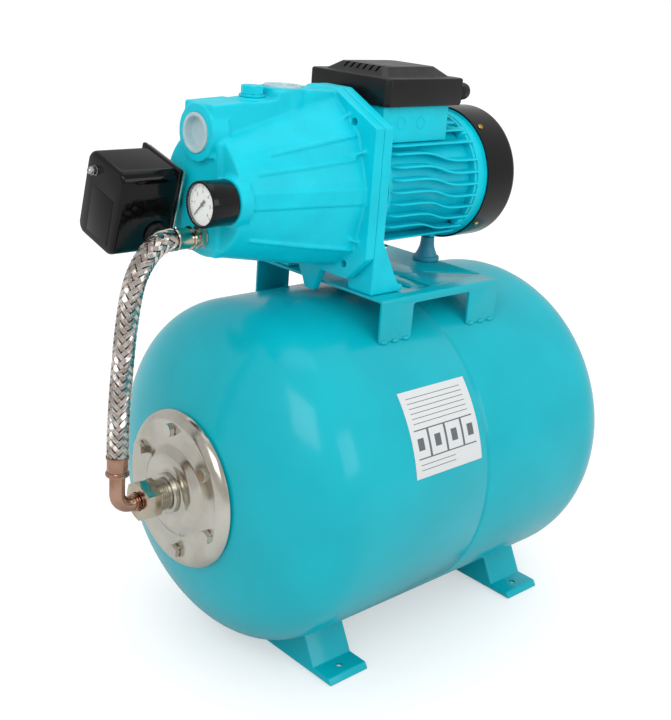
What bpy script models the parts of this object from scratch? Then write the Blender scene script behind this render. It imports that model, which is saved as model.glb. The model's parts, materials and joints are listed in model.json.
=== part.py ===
"""Booster set: a jet-type centrifugal water pump on a 50 litre horizontal pressure tank.

Metres, Z up. X runs along the pump shaft, from the suction end to the motor's fan. Stations along X are
measured from the tank's weld seam. The rig empty shifts the whole set, so that the world origin is on the
floor under the middle of the set's box.
"""

import math

import bmesh
import bpy
from mathutils import Matrix, Vector

GAP = 0.0003  # between pieces that touch

# Pressure tank
TANK_RADIUS = 0.180
TANK_AXIS_Z = 0.200
TANK_WALL = 0.002
TANK_SIDES = 32
TANK_CYLINDER = (-0.169, 0.166)  # where the straight wall starts and ends
FRONT_HEAD_DEPTH = 0.090
REAR_HEAD_DEPTH = 0.096
HEAD_ROUNDNESS = 2.2  # 2 is an ellipse, more is squarer
MOUTH_X = -0.2565
MOUTH_RADIUS = 0.048
VALVE_HOLE_RADIUS = 0.0063
VALVE_END_X = 0.285

# Counterflange on the tank's mouth
FLANGE_X = -0.2640
FLANGE_PLATE = 0.003
FLANGE_RADIUS = 0.081
FLANGE_DISH = 0.0065
FLANGE_BOLTS = 6
FLANGE_BOLT_CIRCLE = 0.063
FLANGE_BOLT_TURN = 36.6  # degrees

# Feet of the tank
FOOT_WIDTH = 0.0537
FOOT_HALF_SPAN = 0.1314
FOOT_PAD_TOP = 0.007
FOOT_SHEET = 0.003
FOOT_HOLE_RADIUS = 0.0035
FOOT_HOLE_INSET = 0.0172
FOOT_STATIONS = {"foot_front": -0.1542, "foot_rear": 0.1340}

# Saddle plate that carries the pump
SADDLE_X = (-0.0933, 0.0829)
SADDLE_HALF_WIDTH = 0.0976
SADDLE_TOP = 0.3959
SADDLE_SHEET = 0.003
SADDLE_LEG = 0.0457
SADDLE_SKIRT = 0.008

# Pump and motor
PUMP_Z = 0.495
FLANGE_FRONT_X = -0.104
SPLIT_X = -0.092  # between the casing's flange and the bracket's flange
BRACKET_BACK_X = -0.080
NOSE_X = -0.236
NOSE_RADIUS = 0.0595
SUCTION_Z = 0.551
OUTLET_X = -0.153
PRIMING_X = -0.190
G1_BORE = 0.0169
G1_THREAD = 0.0166
PLUG_RIM = 0.0182  # of the plugs that close the ports, sunk into the ports' faces
MOTOR_X = (-0.0657, 0.066)
MOTOR_TUBE = 0.060
STATOR_RADIUS = 0.056
FIN_RADIUS = 0.0715
FIN_PITCH = 0.0122
FINS_A_SIDE = 8
SHAFT_RADIUS = 0.007
COVER_X = (0.078, 0.1264)
COVER_RADIUS = 0.0721
STATOR_SLOTS = 8
FAN_BLADES = 6
AIR_SLOTS = 8
VANES = 6

# Terminal box lid
LID_X = (-0.070, 0.041)
LID_Y = (-0.058, 0.058)
LID_BASE = 0.576
LID_SHOULDER = 0.603
LID_TOP = 0.612

# Gauge, on the front of the casing
GAUGE_Y = -0.044
GAUGE_Z = 0.496
GAUGE_BACK_X = -0.248
GAUGE_FRONT_X = -0.2772
GAUGE_RADIUS = 0.021
NEEDLE_ZERO = 225.0  # degrees clockwise from the top, seen from the front

# Pressure switch, leaning over beside the gauge
SWITCH_CENTRE = (0.0, 0.052, 0.482)
SWITCH_LEAN = math.radians(15)
SWITCH_X = (-0.318, -0.2525)
SWITCH_WIDTH = 0.062
SWITCH_HEIGHT = 0.080
SWITCH_NUT = (0.0143, 0.026)
LEVER_PIVOT = (-0.272, 0.0, -0.026)  # in the switch's own frame
SWITCH_NIPPLE = (0.042, 0.487)

# Hose between the pump and the tank
HOSE_RADIUS = 0.0105
HOSE_PORT = (-0.008, 0.457)
ELBOW_X = -0.329
HOSE_ROUTE = (
    (-0.2797, -0.0080, 0.4570),
    (-0.2880, -0.0080, 0.4566),
    (-0.2965, -0.0078, 0.4527),
    (-0.3060, -0.0075, 0.4440),
    (-0.3150, -0.0068, 0.4290),
    (-0.3205, -0.0058, 0.4100),
    (-0.3243, -0.0044, 0.3800),
    (-0.3265, -0.0030, 0.3480),
    (-0.3280, -0.0015, 0.3150),
    (-0.3290, -0.0005, 0.2850),
    (-0.3290, 0.0000, 0.2650),
    (-0.3290, 0.0000, 0.2543),
)
HOSE_POINTS = 22

FRONT_X = ELBOW_X - 0.0115  # the lower collar of the hose is the foremost point
SEAM_X = -(FRONT_X + VALVE_END_X) / 2


# ---------------------------------------------------------------- scene and materials


def clear_scene():
    for obj in list(bpy.data.objects):
        bpy.data.objects.remove(obj, do_unlink=True)
    for collection in list(bpy.data.collections):
        bpy.data.collections.remove(collection)


def new_collection(name):
    collection = bpy.data.collections.new(name)
    bpy.context.scene.collection.children.link(collection)
    return collection


clear_scene()
PARTS = new_collection("centrifugal_water_pump")
CUTTERS = new_collection("cutters")
RIG = bpy.data.objects.new("rig", None)
RIG.location = (SEAM_X, 0.0, 0.0)
PARTS.objects.link(RIG)


def finish_of(name, colour, roughness, metallic=0.0):
    """A plain finish; colour is sRGB, 0 to 1."""
    found = bpy.data.materials.new(name)
    found.use_nodes = True
    shader = found.node_tree.nodes["Principled BSDF"]
    linear = [(c / 12.92) if c <= 0.04045 else ((c + 0.055) / 1.055) ** 2.4 for c in colour]
    shader.inputs["Base Color"].default_value = (*linear, 1.0)
    shader.inputs["Roughness"].default_value = roughness
    shader.inputs["Metallic"].default_value = metallic
    found.diffuse_color = (*linear, 1.0)
    return found


TANK_PAINT = finish_of("tank_paint", (0.09, 0.66, 0.73), 0.30)
PUMP_PAINT = finish_of("pump_paint", (0.02, 0.78, 0.86), 0.38)
RUBBER = finish_of("rubber", (0.08, 0.08, 0.08), 0.80)
BLUE_RUBBER = finish_of("blue_rubber", (0.12, 0.50, 0.62), 0.55)
BLACK_PLASTIC = finish_of("black_plastic", (0.06, 0.06, 0.065), 0.35)
GLOSS_BLACK = finish_of("gloss_black_plastic", (0.03, 0.02, 0.02), 0.12)
BLACK_STEEL = finish_of("black_painted_steel", (0.05, 0.05, 0.05), 0.30)
NATURAL_PLASTIC = finish_of("natural_plastic", (0.86, 0.93, 0.95), 0.25)
NORYL = finish_of("impeller_plastic", (0.16, 0.16, 0.17), 0.45)
ZINC = finish_of("zinc_plate", (0.77, 0.76, 0.72), 0.28, 1.0)
NICKEL = finish_of("nickel_brass", (0.83, 0.78, 0.68), 0.22, 1.0)
COPPER_NICKEL = finish_of("copper_tone", (0.80, 0.62, 0.53), 0.18, 1.0)
BRAID = finish_of("steel_braid", (0.78, 0.76, 0.74), 0.35, 1.0)
STEEL = finish_of("machined_steel", (0.70, 0.70, 0.70), 0.30, 1.0)
LAMINATION = finish_of("lamination_steel", (0.42, 0.43, 0.45), 0.45, 1.0)
COPPER = finish_of("copper_wire", (0.72, 0.38, 0.20), 0.35, 1.0)
CERAMIC = finish_of("ceramic", (0.92, 0.90, 0.85), 0.30)
DIAL_WHITE = finish_of("dial_white", (0.95, 0.95, 0.94), 0.50)
NEEDLE_BLACK = finish_of("needle_black", (0.02, 0.02, 0.02), 0.40)
LENS = finish_of("clear_lens", (0.90, 0.93, 0.95), 0.05)


# ---------------------------------------------------------------- modelling helpers


def add_part(name, mesh, finish, at=(0, 0, 0), turn=(0, 0, 0)):
    """A named sub-part under the rig, placed by its location and rotation."""
    obj = bpy.data.objects.new(name, mesh)
    mesh.materials.append(finish)
    PARTS.objects.link(obj)
    obj.parent = RIG
    obj.location = at
    obj.rotation_euler = turn
    return obj


def mesh_from(shape, name):
    bmesh.ops.recalc_face_normals(shape, faces=shape.faces)
    mesh = bpy.data.meshes.new(name)
    shape.to_mesh(mesh)
    shape.free()
    return mesh


TURN_FOR = {"X": (0, math.pi / 2, 0), "Y": (-math.pi / 2, 0, 0), "Z": (0, 0, 0)}


def turned(name, outline, finish, at=(0, 0, 0), along="X", steps=20):
    """Spins an outline of (station, radius) about an axis through at. The outline may end on the axis."""
    area = sum(a[0] * b[1] - b[0] * a[1] for a, b in zip(outline, outline[1:] + outline[:1]))
    ordered = outline if area > 0 else outline[::-1]
    mesh = bpy.data.meshes.new(name)
    open_ended = outline[0][1] == 0 and outline[-1][1] == 0
    count = len(ordered)
    edges = [(i, (i + 1) % count) for i in range(count - 1 if open_ended else count)]
    mesh.from_pydata([(radius, 0, station) for station, radius in ordered], edges, [])
    obj = add_part(name, mesh, finish, at, TURN_FOR[along])
    screw = obj.modifiers.new("Spin", "SCREW")
    screw.steps = screw.render_steps = steps
    screw.use_merge_vertices = True
    screw.merge_threshold = 0.00001
    screw.use_smooth_shade = False
    return obj


def block(name, low, high, finish, at=(0, 0, 0), turn=(0, 0, 0), rounding=0.0, segments=2):
    """A box between two corners, with rounded edges if asked for."""
    shape = bmesh.new()
    bmesh.ops.create_cube(shape, size=1.0)
    low, high = Vector(low), Vector(high)
    bmesh.ops.scale(shape, vec=high - low, verts=shape.verts)
    bmesh.ops.translate(shape, vec=(low + high) / 2, verts=shape.verts)
    obj = add_part(name, mesh_from(shape, name), finish, at, turn)
    if rounding:
        bevel = obj.modifiers.new("Round", "BEVEL")
        bevel.width = rounding
        bevel.segments = segments
        bevel.limit_method = "ANGLE"
    return obj


# Each maps an outline's two numbers and the height above its plane to a point.
PLANE_OF = {
    "X": lambda a, b, height: (height, a, b),
    "Y": lambda a, b, height: (a, height, b),
    "Z": lambda a, b, height: (a, b, height),
}


def prism(name, outline, span, finish, along="X", at=(0, 0, 0), turn=(0, 0, 0)):
    """A flat outline extruded from span[0] to span[1] along an axis."""
    to_point = PLANE_OF[along]
    shape = bmesh.new()
    face = shape.faces.new([shape.verts.new(to_point(a, b, span[0])) for a, b in outline])
    grown = bmesh.ops.extrude_face_region(shape, geom=[face])
    moved = [item for item in grown["geom"] if isinstance(item, bmesh.types.BMVert)]
    bmesh.ops.translate(shape, vec=to_point(0, 0, span[1] - span[0]), verts=moved)
    return add_part(name, mesh_from(shape, name), finish, at, turn)


def loft(name, rings, finish, at=(0, 0, 0), turn=(0, 0, 0)):
    """A closed skin over rings of points, each with the same count, capped at both ends."""
    shape = bmesh.new()
    rows = [[shape.verts.new(point) for point in ring] for ring in rings]
    count = len(rows[0])
    for lower, upper in zip(rows, rows[1:]):
        for i in range(count):
            j = (i + 1) % count
            shape.faces.new((lower[i], lower[j], upper[j], upper[i]))
    shape.faces.new(rows[0])
    shape.faces.new(rows[-1])
    return add_part(name, mesh_from(shape, name), finish, at, turn)


def round_bar(name, radius, span, finish, at=(0, 0, 0), along="X", steps=16):
    """A plain cylinder from span[0] to span[1]."""
    return turned(name, [(span[0], 0), (span[0], radius), (span[1], radius), (span[1], 0)],
                  finish, at, along, steps)


def combine(obj, tools, operation):
    """One Boolean against all the tools together, which are kept in a collection of their own."""
    group = bpy.data.collections.new(f"{obj.name}_{operation.lower()}")
    CUTTERS.children.link(group)
    for tool in tools:
        for collection in tool.users_collection:
            collection.objects.unlink(tool)
        group.objects.link(tool)
        tool.hide_render = True
        tool.display_type = "WIRE"
    modifier = obj.modifiers.new(operation.title(), "BOOLEAN")
    modifier.operation = operation
    modifier.operand_type = "COLLECTION"
    modifier.collection = group
    modifier.solver = "EXACT"


def cut(obj, *tools):
    combine(obj, tools, "DIFFERENCE")


def join(obj, *tools):
    combine(obj, tools, "UNION")


def polygon_radius(angle, sides, across_flats):
    """Distance from a regular polygon's centre to its outline, with a flat facing angle 0."""
    step = 2 * math.pi / sides
    off_flat = (angle + step / 2) % step - step / 2
    return across_flats / 2 / math.cos(off_flat)


def ring_at(station, radius_at, count=12, start=0.0):
    """Points around the X axis, at the distance that radius_at gives for each angle."""
    angles = [start + 2 * math.pi * i / count for i in range(count)]
    return [(station, radius_at(a) * math.cos(a), radius_at(a) * math.sin(a)) for a in angles]


def hex_fastener(name, sections, finish, at, turn=(0, 0, 0), count=12):
    """Sections are (station, size, is_hex): across flats where it is hexagonal, else diameter."""
    rings = []
    for station, size, is_hex in sections:
        if is_hex:
            rings.append(ring_at(station, lambda a, s=size: polygon_radius(a, 6, s), count))
        else:
            rings.append(ring_at(station, lambda a, s=size: s / 2, count))
    return loft(name, rings, finish, at, turn)


def smooth_route(points, count):
    """Evenly spaced points on a Catmull-Rom curve through the given ones."""
    knots = [Vector(p) for p in points]
    padded = [2 * knots[0] - knots[1], *knots, 2 * knots[-1] - knots[-2]]
    fine = []
    for a, b, c, d in zip(padded, padded[1:], padded[2:], padded[3:]):
        for i in range(20):
            t = i / 20
            fine.append(0.5 * (2 * b + (c - a) * t + (2 * a - 5 * b + 4 * c - d) * t**2
                               + (3 * b - a - 3 * c + d) * t**3))
    fine.append(knots[-1])
    lengths = [0.0]
    for a, b in zip(fine, fine[1:]):
        lengths.append(lengths[-1] + (b - a).length)
    route = []
    for i in range(count):
        wanted = lengths[-1] * i / (count - 1)
        k = max(j for j in range(len(lengths)) if lengths[j] <= wanted + 1e-12)
        k = min(k, len(fine) - 2)
        share = (wanted - lengths[k]) / (lengths[k + 1] - lengths[k])
        route.append(fine[k].lerp(fine[k + 1], share))
    return route


def bent_tube(name, points, radius, finish, fineness=3):
    """A round bar along a polyline, as a curve with a bevel and filled caps."""
    curve = bpy.data.curves.new(name, "CURVE")
    curve.dimensions = "3D"
    curve.bevel_depth = radius
    curve.bevel_resolution = fineness
    curve.use_fill_caps = True
    spline = curve.splines.new("POLY")
    spline.points.add(len(points) - 1)
    for slot, point in zip(spline.points, points):
        slot.co = (*point, 1.0)
    obj = bpy.data.objects.new(name, curve)
    curve.materials.append(finish)
    PARTS.objects.link(obj)
    obj.parent = RIG
    return obj


def settle(obj):
    """Turns a sub-part's modifiers or curve into its own welded mesh, smooth apart from its hard edges."""
    graph = bpy.context.evaluated_depsgraph_get()
    mesh = bpy.data.meshes.new_from_object(obj.evaluated_get(graph), depsgraph=graph)
    shape = bmesh.new()
    shape.from_mesh(mesh)
    bmesh.ops.remove_doubles(shape, verts=shape.verts, dist=0.0000005)
    bmesh.ops.dissolve_degenerate(shape, edges=shape.edges, dist=0.0000005)
    shape.to_mesh(mesh)
    shape.free()
    mesh.shade_smooth()
    mesh.set_sharp_from_angle(angle=math.radians(30))
    return mesh


def settle_all():
    bpy.context.view_layer.update()
    finished = {}
    for obj in list(PARTS.objects):
        if obj.type in ("MESH", "CURVE"):
            finished[obj] = settle(obj)
    for obj, mesh in finished.items():
        if obj.type == "CURVE":
            name, finish = obj.name, obj.data.materials[0]
            bpy.data.objects.remove(obj)
            mesh.materials.clear()
            add_part(name, mesh, finish)
        else:
            obj.modifiers.clear()
            obj.data = mesh


# ---------------------------------------------------------------- pressure tank


def head_points(start_x, depth, radius, from_radius, to_radius, count):
    """Points of a tank head, from one radius to another. depth is negative for the front head."""
    power = 2 / HEAD_ROUNDNESS
    first = math.acos((from_radius / radius) ** (1 / power))
    last = math.acos(min(1.0, (to_radius / radius) ** (1 / power)))
    points = []
    for i in range(count):
        angle = first + (last - first) * i / (count - 1)
        points.append((start_x + depth * math.sin(angle) ** power, radius * math.cos(angle) ** power))
    return points


def build_tank():
    front, rear = TANK_CYLINDER
    inner = TANK_RADIUS - TANK_WALL
    rim = 0.074
    outside = [(MOUTH_X, MOUTH_RADIUS), (MOUTH_X, rim)]
    outside += head_points(front, -FRONT_HEAD_DEPTH, TANK_RADIUS, 0.082, TANK_RADIUS, 4)
    outside += [(0.0, TANK_RADIUS)]
    inside = [(0.0, inner)]
    inside += head_points(front, -FRONT_HEAD_DEPTH + TANK_WALL, inner, inner, 0.082, 4)
    inside += [(MOUTH_X + TANK_WALL, rim), (MOUTH_X + TANK_WALL, MOUTH_RADIUS)]
    shell = turned("tank_front_shell", outside + inside, TANK_PAINT, (0, 0, TANK_AXIS_Z), steps=TANK_SIDES)
    cut(shell, *[round_bar("mouth_bolt_hole", 0.0043, (-0.30, -0.20), TANK_PAINT, spot, steps=6)
                 for spot in flange_bolt_spots()])

    neck = inner - GAP  # the rear shell is drawn in, and slides under the front shell's edge
    outside = [(-0.010, neck), (0.0010, neck), (0.0065, TANK_RADIUS)]
    outside += head_points(rear, REAR_HEAD_DEPTH, TANK_RADIUS, VALVE_HOLE_RADIUS, TANK_RADIUS, 5)[::-1]
    inside = head_points(rear, REAR_HEAD_DEPTH - TANK_WALL, inner, VALVE_HOLE_RADIUS, inner, 5)
    inside += [(0.0075, inner), (0.0020, neck - TANK_WALL), (-0.010, neck - TANK_WALL)]
    turned("tank_rear_shell", outside + inside, TANK_PAINT, (0, 0, TANK_AXIS_Z), steps=TANK_SIDES)

    wall = 0.003
    outer_skin = [(0.2290, 0.0), (0.2270, 0.050), (0.1750, 0.140), (-0.1800, 0.145), (-0.2380, 0.085),
                  (-0.2480, 0.0474), (-0.2568, 0.0474), (-0.2568, 0.0560), (-0.2607, 0.0560)]
    inner_skin = [(-0.2607, 0.0440), (-0.2465, 0.0440), (-0.2355, 0.083), (-0.1785, 0.145 - wall),
                  (0.1735, 0.140 - wall), (0.2242, 0.049), (0.2260, 0.0)]
    turned("tank_bladder", outer_skin + inner_skin, RUBBER, (0, 0, TANK_AXIS_Z))

    stem = VALVE_HOLE_RADIUS - GAP
    head_end = TANK_CYLINDER[1] + REAR_HEAD_DEPTH
    turned("air_valve",
           [(0.2560, 0.0022), (0.2560, stem), (head_end + 0.0005, stem), (head_end + 0.0005, 0.0100),
            (head_end + 0.0040, 0.0100), (head_end + 0.0040, 0.0045), (0.2780, 0.0045), (0.2780, 0.0022)],
           NICKEL, (0, 0, TANK_AXIS_Z), steps=16)
    turned("air_valve_cap",
           [(head_end + 0.0045, 0.0050), (head_end + 0.0045, 0.0080), (0.2830, 0.0080), (VALVE_END_X, 0.0065),
            (VALVE_END_X, 0.0), (0.2815, 0.0), (0.2815, 0.0050)],
           BLACK_PLASTIC, (0, 0, TANK_AXIS_Z), steps=16)
    turned("air_valve_pin",
           [(0.2570, 0.0), (0.2570, 0.0018), (0.2590, 0.0018), (0.2590, 0.0010), (0.2770, 0.0010),
            (0.2770, 0.0)],
           NICKEL, (0, 0, TANK_AXIS_Z), steps=8)


def flange_bolt_spots():
    spots = []
    for i in range(FLANGE_BOLTS):
        angle = math.radians(FLANGE_BOLT_TURN + 360 / FLANGE_BOLTS * i)
        spots.append((0.0, -FLANGE_BOLT_CIRCLE * math.cos(angle),
                      TANK_AXIS_Z + FLANGE_BOLT_CIRCLE * math.sin(angle)))
    return spots


def build_counterflange():
    face = FLANGE_X
    raised = FLANGE_X - FLANGE_DISH
    back = FLANGE_PLATE
    outline = [(raised, G1_BORE), (raised, 0.0390), (face, 0.0490), (face, 0.0700), (face + 0.0022, 0.0765),
               (face + 0.0060, FLANGE_RADIUS), (face + 0.0090, FLANGE_RADIUS),
               (face + 0.0085, FLANGE_RADIUS - back), (face + back + 0.0015, 0.0740),
               (face + back, 0.0690), (face + back, 0.0502), (raised + back, 0.0402),
               (raised + back, G1_BORE)]
    flange = turned("tank_flange", outline, ZINC, (0, 0, TANK_AXIS_Z), steps=24)
    cut(flange, *[round_bar("flange_hole", 0.0043, (-0.30, -0.20), ZINC, spot, steps=6)
                  for spot in flange_bolt_spots()])
    head = FLANGE_X - GAP
    sections = [(head - 0.0055, 0.0120, True), (head - 0.0048, 0.0130, True), (head, 0.0130, True),
                (head + 0.00005, 0.0074, False), (-0.2460, 0.0074, False)]
    for number, spot in enumerate(flange_bolt_spots(), start=1):
        hex_fastener(f"flange_bolt_{number}", sections, ZINC, spot)


def foot_outline(inset):
    """Half-profile of a foot across the set, mirrored: pad, steep facet and a seat that follows the tank."""
    def seat(y):
        reach = TANK_RADIUS + 0.0006 + inset
        return TANK_AXIS_Z - math.sqrt(reach**2 - y**2)

    half = [(FOOT_HALF_SPAN - inset, -0.001 if inset else 0.0),
            (FOOT_HALF_SPAN - 0.0045 - inset, FOOT_PAD_TOP - inset),
            (0.1030 - inset / 2, FOOT_PAD_TOP - inset)]
    half += [(y, seat(y)) for y in (0.0850, 0.0640, 0.0430, 0.0215)]
    mirrored = [(-y, z) for y, z in reversed(half)]
    return half + [(0.0, seat(0.0))] + mirrored


def build_feet():
    for name, start in FOOT_STATIONS.items():
        foot = prism(name, foot_outline(0.0), (start, start + FOOT_WIDTH), TANK_PAINT)
        inside = (start + FOOT_SHEET, start + FOOT_WIDTH - FOOT_SHEET)
        cut(foot, prism("foot_hollow", foot_outline(FOOT_SHEET), inside, TANK_PAINT))
        hole_y = FOOT_HALF_SPAN - FOOT_HOLE_INSET
        cut(foot, *[round_bar("foot_hole", FOOT_HOLE_RADIUS, (-0.01, 0.02), TANK_PAINT,
                              (start + FOOT_WIDTH / 2, y, 0.0), "Z", 12) for y in (-hole_y, hole_y)])


def build_saddle():
    wide, thick = SADDLE_HALF_WIDTH, SADDLE_SHEET
    seat_out = TANK_AXIS_Z + math.sqrt(TANK_RADIUS**2 - wide**2) + 0.0006
    seat_in = TANK_AXIS_Z + math.sqrt(TANK_RADIUS**2 - (wide - thick) ** 2) + 0.0006
    outer = [(-wide, seat_out), (-wide, SADDLE_TOP - 0.002), (-wide + 0.002, SADDLE_TOP),
             (wide - 0.002, SADDLE_TOP), (wide, SADDLE_TOP - 0.002), (wide, seat_out)]
    inner = [(wide - thick, seat_in), (wide - thick, SADDLE_TOP - thick),
             (-wide + thick, SADDLE_TOP - thick), (-wide + thick, seat_in)]
    saddle = prism("pump_saddle", outer + inner, SADDLE_X, TANK_PAINT)
    opening = (SADDLE_X[0] + SADDLE_LEG, SADDLE_X[1] - SADDLE_LEG)
    window = block("saddle_window", (opening[0], -0.12, 0.34), (opening[1], 0.12, SADDLE_TOP - SADDLE_SKIRT),
                   TANK_PAINT)
    slots = [block("saddle_slot", (x - 0.003, y_low, 0.38), (x + 0.003, y_high, 0.41), TANK_PAINT)
             for x, y_low, y_high in ((-0.0075, -0.081, -0.033), (-0.032, -0.076, -0.050),
                                      (-0.0075, 0.033, 0.081), (-0.032, 0.050, 0.076))]
    slots += [block("diagonal_slot", (-0.031, -0.0025, -0.02), (0.031, 0.0025, 0.02), TANK_PAINT,
                    at=(0.055, side * 0.054, SADDLE_TOP), turn=(0, 0, side * math.radians(34)))
              for side in (-1, 1)]
    cut(saddle, window, *slots)


# ---------------------------------------------------------------- hose and fittings


def build_hose():
    raised = FLANGE_X - FLANGE_DISH
    axis = (0, 0, TANK_AXIS_Z)
    turned("tank_nipple",
           [(-0.2500, 0.0100), (-0.2500, G1_THREAD), (raised - GAP, G1_THREAD), (raised - GAP, 0.0205),
            (raised - 0.0055, 0.0205), (raised - 0.0065, G1_THREAD), (-0.3005, G1_THREAD), (-0.3005, 0.0100)],
           ZINC, axis, steps=20)
    nut = hex_fastener("union_nut", [(-0.2890, 0.0350, True), (-0.2900, 0.0370, True),
                                     (-0.3055, 0.0370, True), (-0.3065, 0.0350, True)], NICKEL, axis)
    cut(nut, round_bar("nut_thread", G1_BORE, (-0.3035, -0.28), NICKEL, axis, steps=20),
        round_bar("nut_mouth", 0.0095, (-0.32, -0.30), NICKEL, axis, steps=16))
    radius = 0.0075
    bend = 0.0150
    centre = (ELBOW_X + bend, 0.0, TANK_AXIS_Z + bend)
    path = [(-0.3012, 0.0, TANK_AXIS_Z), (-0.3075, 0.0, TANK_AXIS_Z)]
    for i in range(7):
        angle = math.radians(270 - 15 * i)
        path.append((centre[0] + bend * math.cos(angle), 0.0, centre[2] + bend * math.sin(angle)))
    path.append((ELBOW_X, 0.0, 0.2335))
    bent_tube("hose_elbow", path, radius, COPPER_NICKEL, 2)
    turned("hose_ferrule_lower",
           [(0.2338, 0.0), (0.2338, 0.0095), (0.2345, 0.0115), (0.2375, 0.0115), (0.2382, 0.0100),
            (0.2540, 0.0100), (0.2540, 0.0)],
           COPPER_NICKEL, (ELBOW_X, 0, 0), "Z", 20)
    bent_tube("braided_hose", smooth_route(HOSE_ROUTE, HOSE_POINTS), HOSE_RADIUS, BRAID, 3)
    port = (0.0, *HOSE_PORT)
    turned("hose_ferrule_upper",
           [(-0.2782, 0.0), (-0.2782, 0.0100), (-0.2625, 0.0100), (-0.2618, 0.0112), (-0.2590, 0.0112),
            (-0.2583, 0.0095), (-0.2583, 0.0)],
           NICKEL, port, "X", 20)
    hex_fastener("hose_connector", [(-0.2310, 0.0120, False), (NOSE_X - 0.0102, 0.0120, False),
                                    (NOSE_X - 0.0103, 0.0205, False), (NOSE_X - 0.0120, 0.0205, False),
                                    (NOSE_X - 0.0121, 0.0190, True), (-0.2540, 0.0190, True),
                                    (-0.2541, 0.0165, False), (-0.2580, 0.0165, False)], NICKEL, port)


# ---------------------------------------------------------------- pump casing and hydraulics


OCTAGON = [(-0.080, 0.434), (-0.080, 0.561), (-0.018, 0.591), (0.018, 0.591), (0.080, 0.561),
           (0.080, 0.434), (0.056, 0.410), (-0.056, 0.410)]

# The casing's section at the flange, as (y, height above the shaft), from the top round to the bottom.
ROOT_SECTION = [(0.022, 0.088), (0.058, 0.057), (0.072, 0.013), (0.072, -0.013), (0.062, -0.055),
                (0.040, -0.074), (0.014, -0.080)]


def section_radius(corners, angle):
    """Distance from the centre to a closed outline of corners, in the direction of angle."""
    direction = Vector((math.cos(angle), math.sin(angle)))
    for a, b in zip(corners, corners[1:] + corners[:1]):
        side = Vector(b) - Vector(a)
        cross = direction.x * side.y - direction.y * side.x
        if abs(cross) < 1e-12:
            continue
        distance = (a[0] * side.y - a[1] * side.x) / cross
        share = (a[0] * direction.y - a[1] * direction.x) / cross
        if distance > 0 and -1e-9 <= share <= 1 + 1e-9:
            return distance
    raise ValueError("the outline doesn't surround the centre")


def body_rings(stations, inset, count=28):
    """Rings that turn from the round nose into the faceted root. Each station is (x, share, scale)."""
    corners = [(y, z) for y, z in ROOT_SECTION] + [(-y, z) for y, z in reversed(ROOT_SECTION)]
    corners = corners[::-1]
    rings = []
    for x, share, scale in stations:
        def radius_at(angle, share=share, scale=scale):
            root = section_radius(corners, angle)
            return (NOSE_RADIUS * (1 - share) + root * share) * scale - inset
        rings.append([(px, y, PUMP_Z + z) for px, y, z in ring_at(x, radius_at, count)])
    return rings


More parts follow.
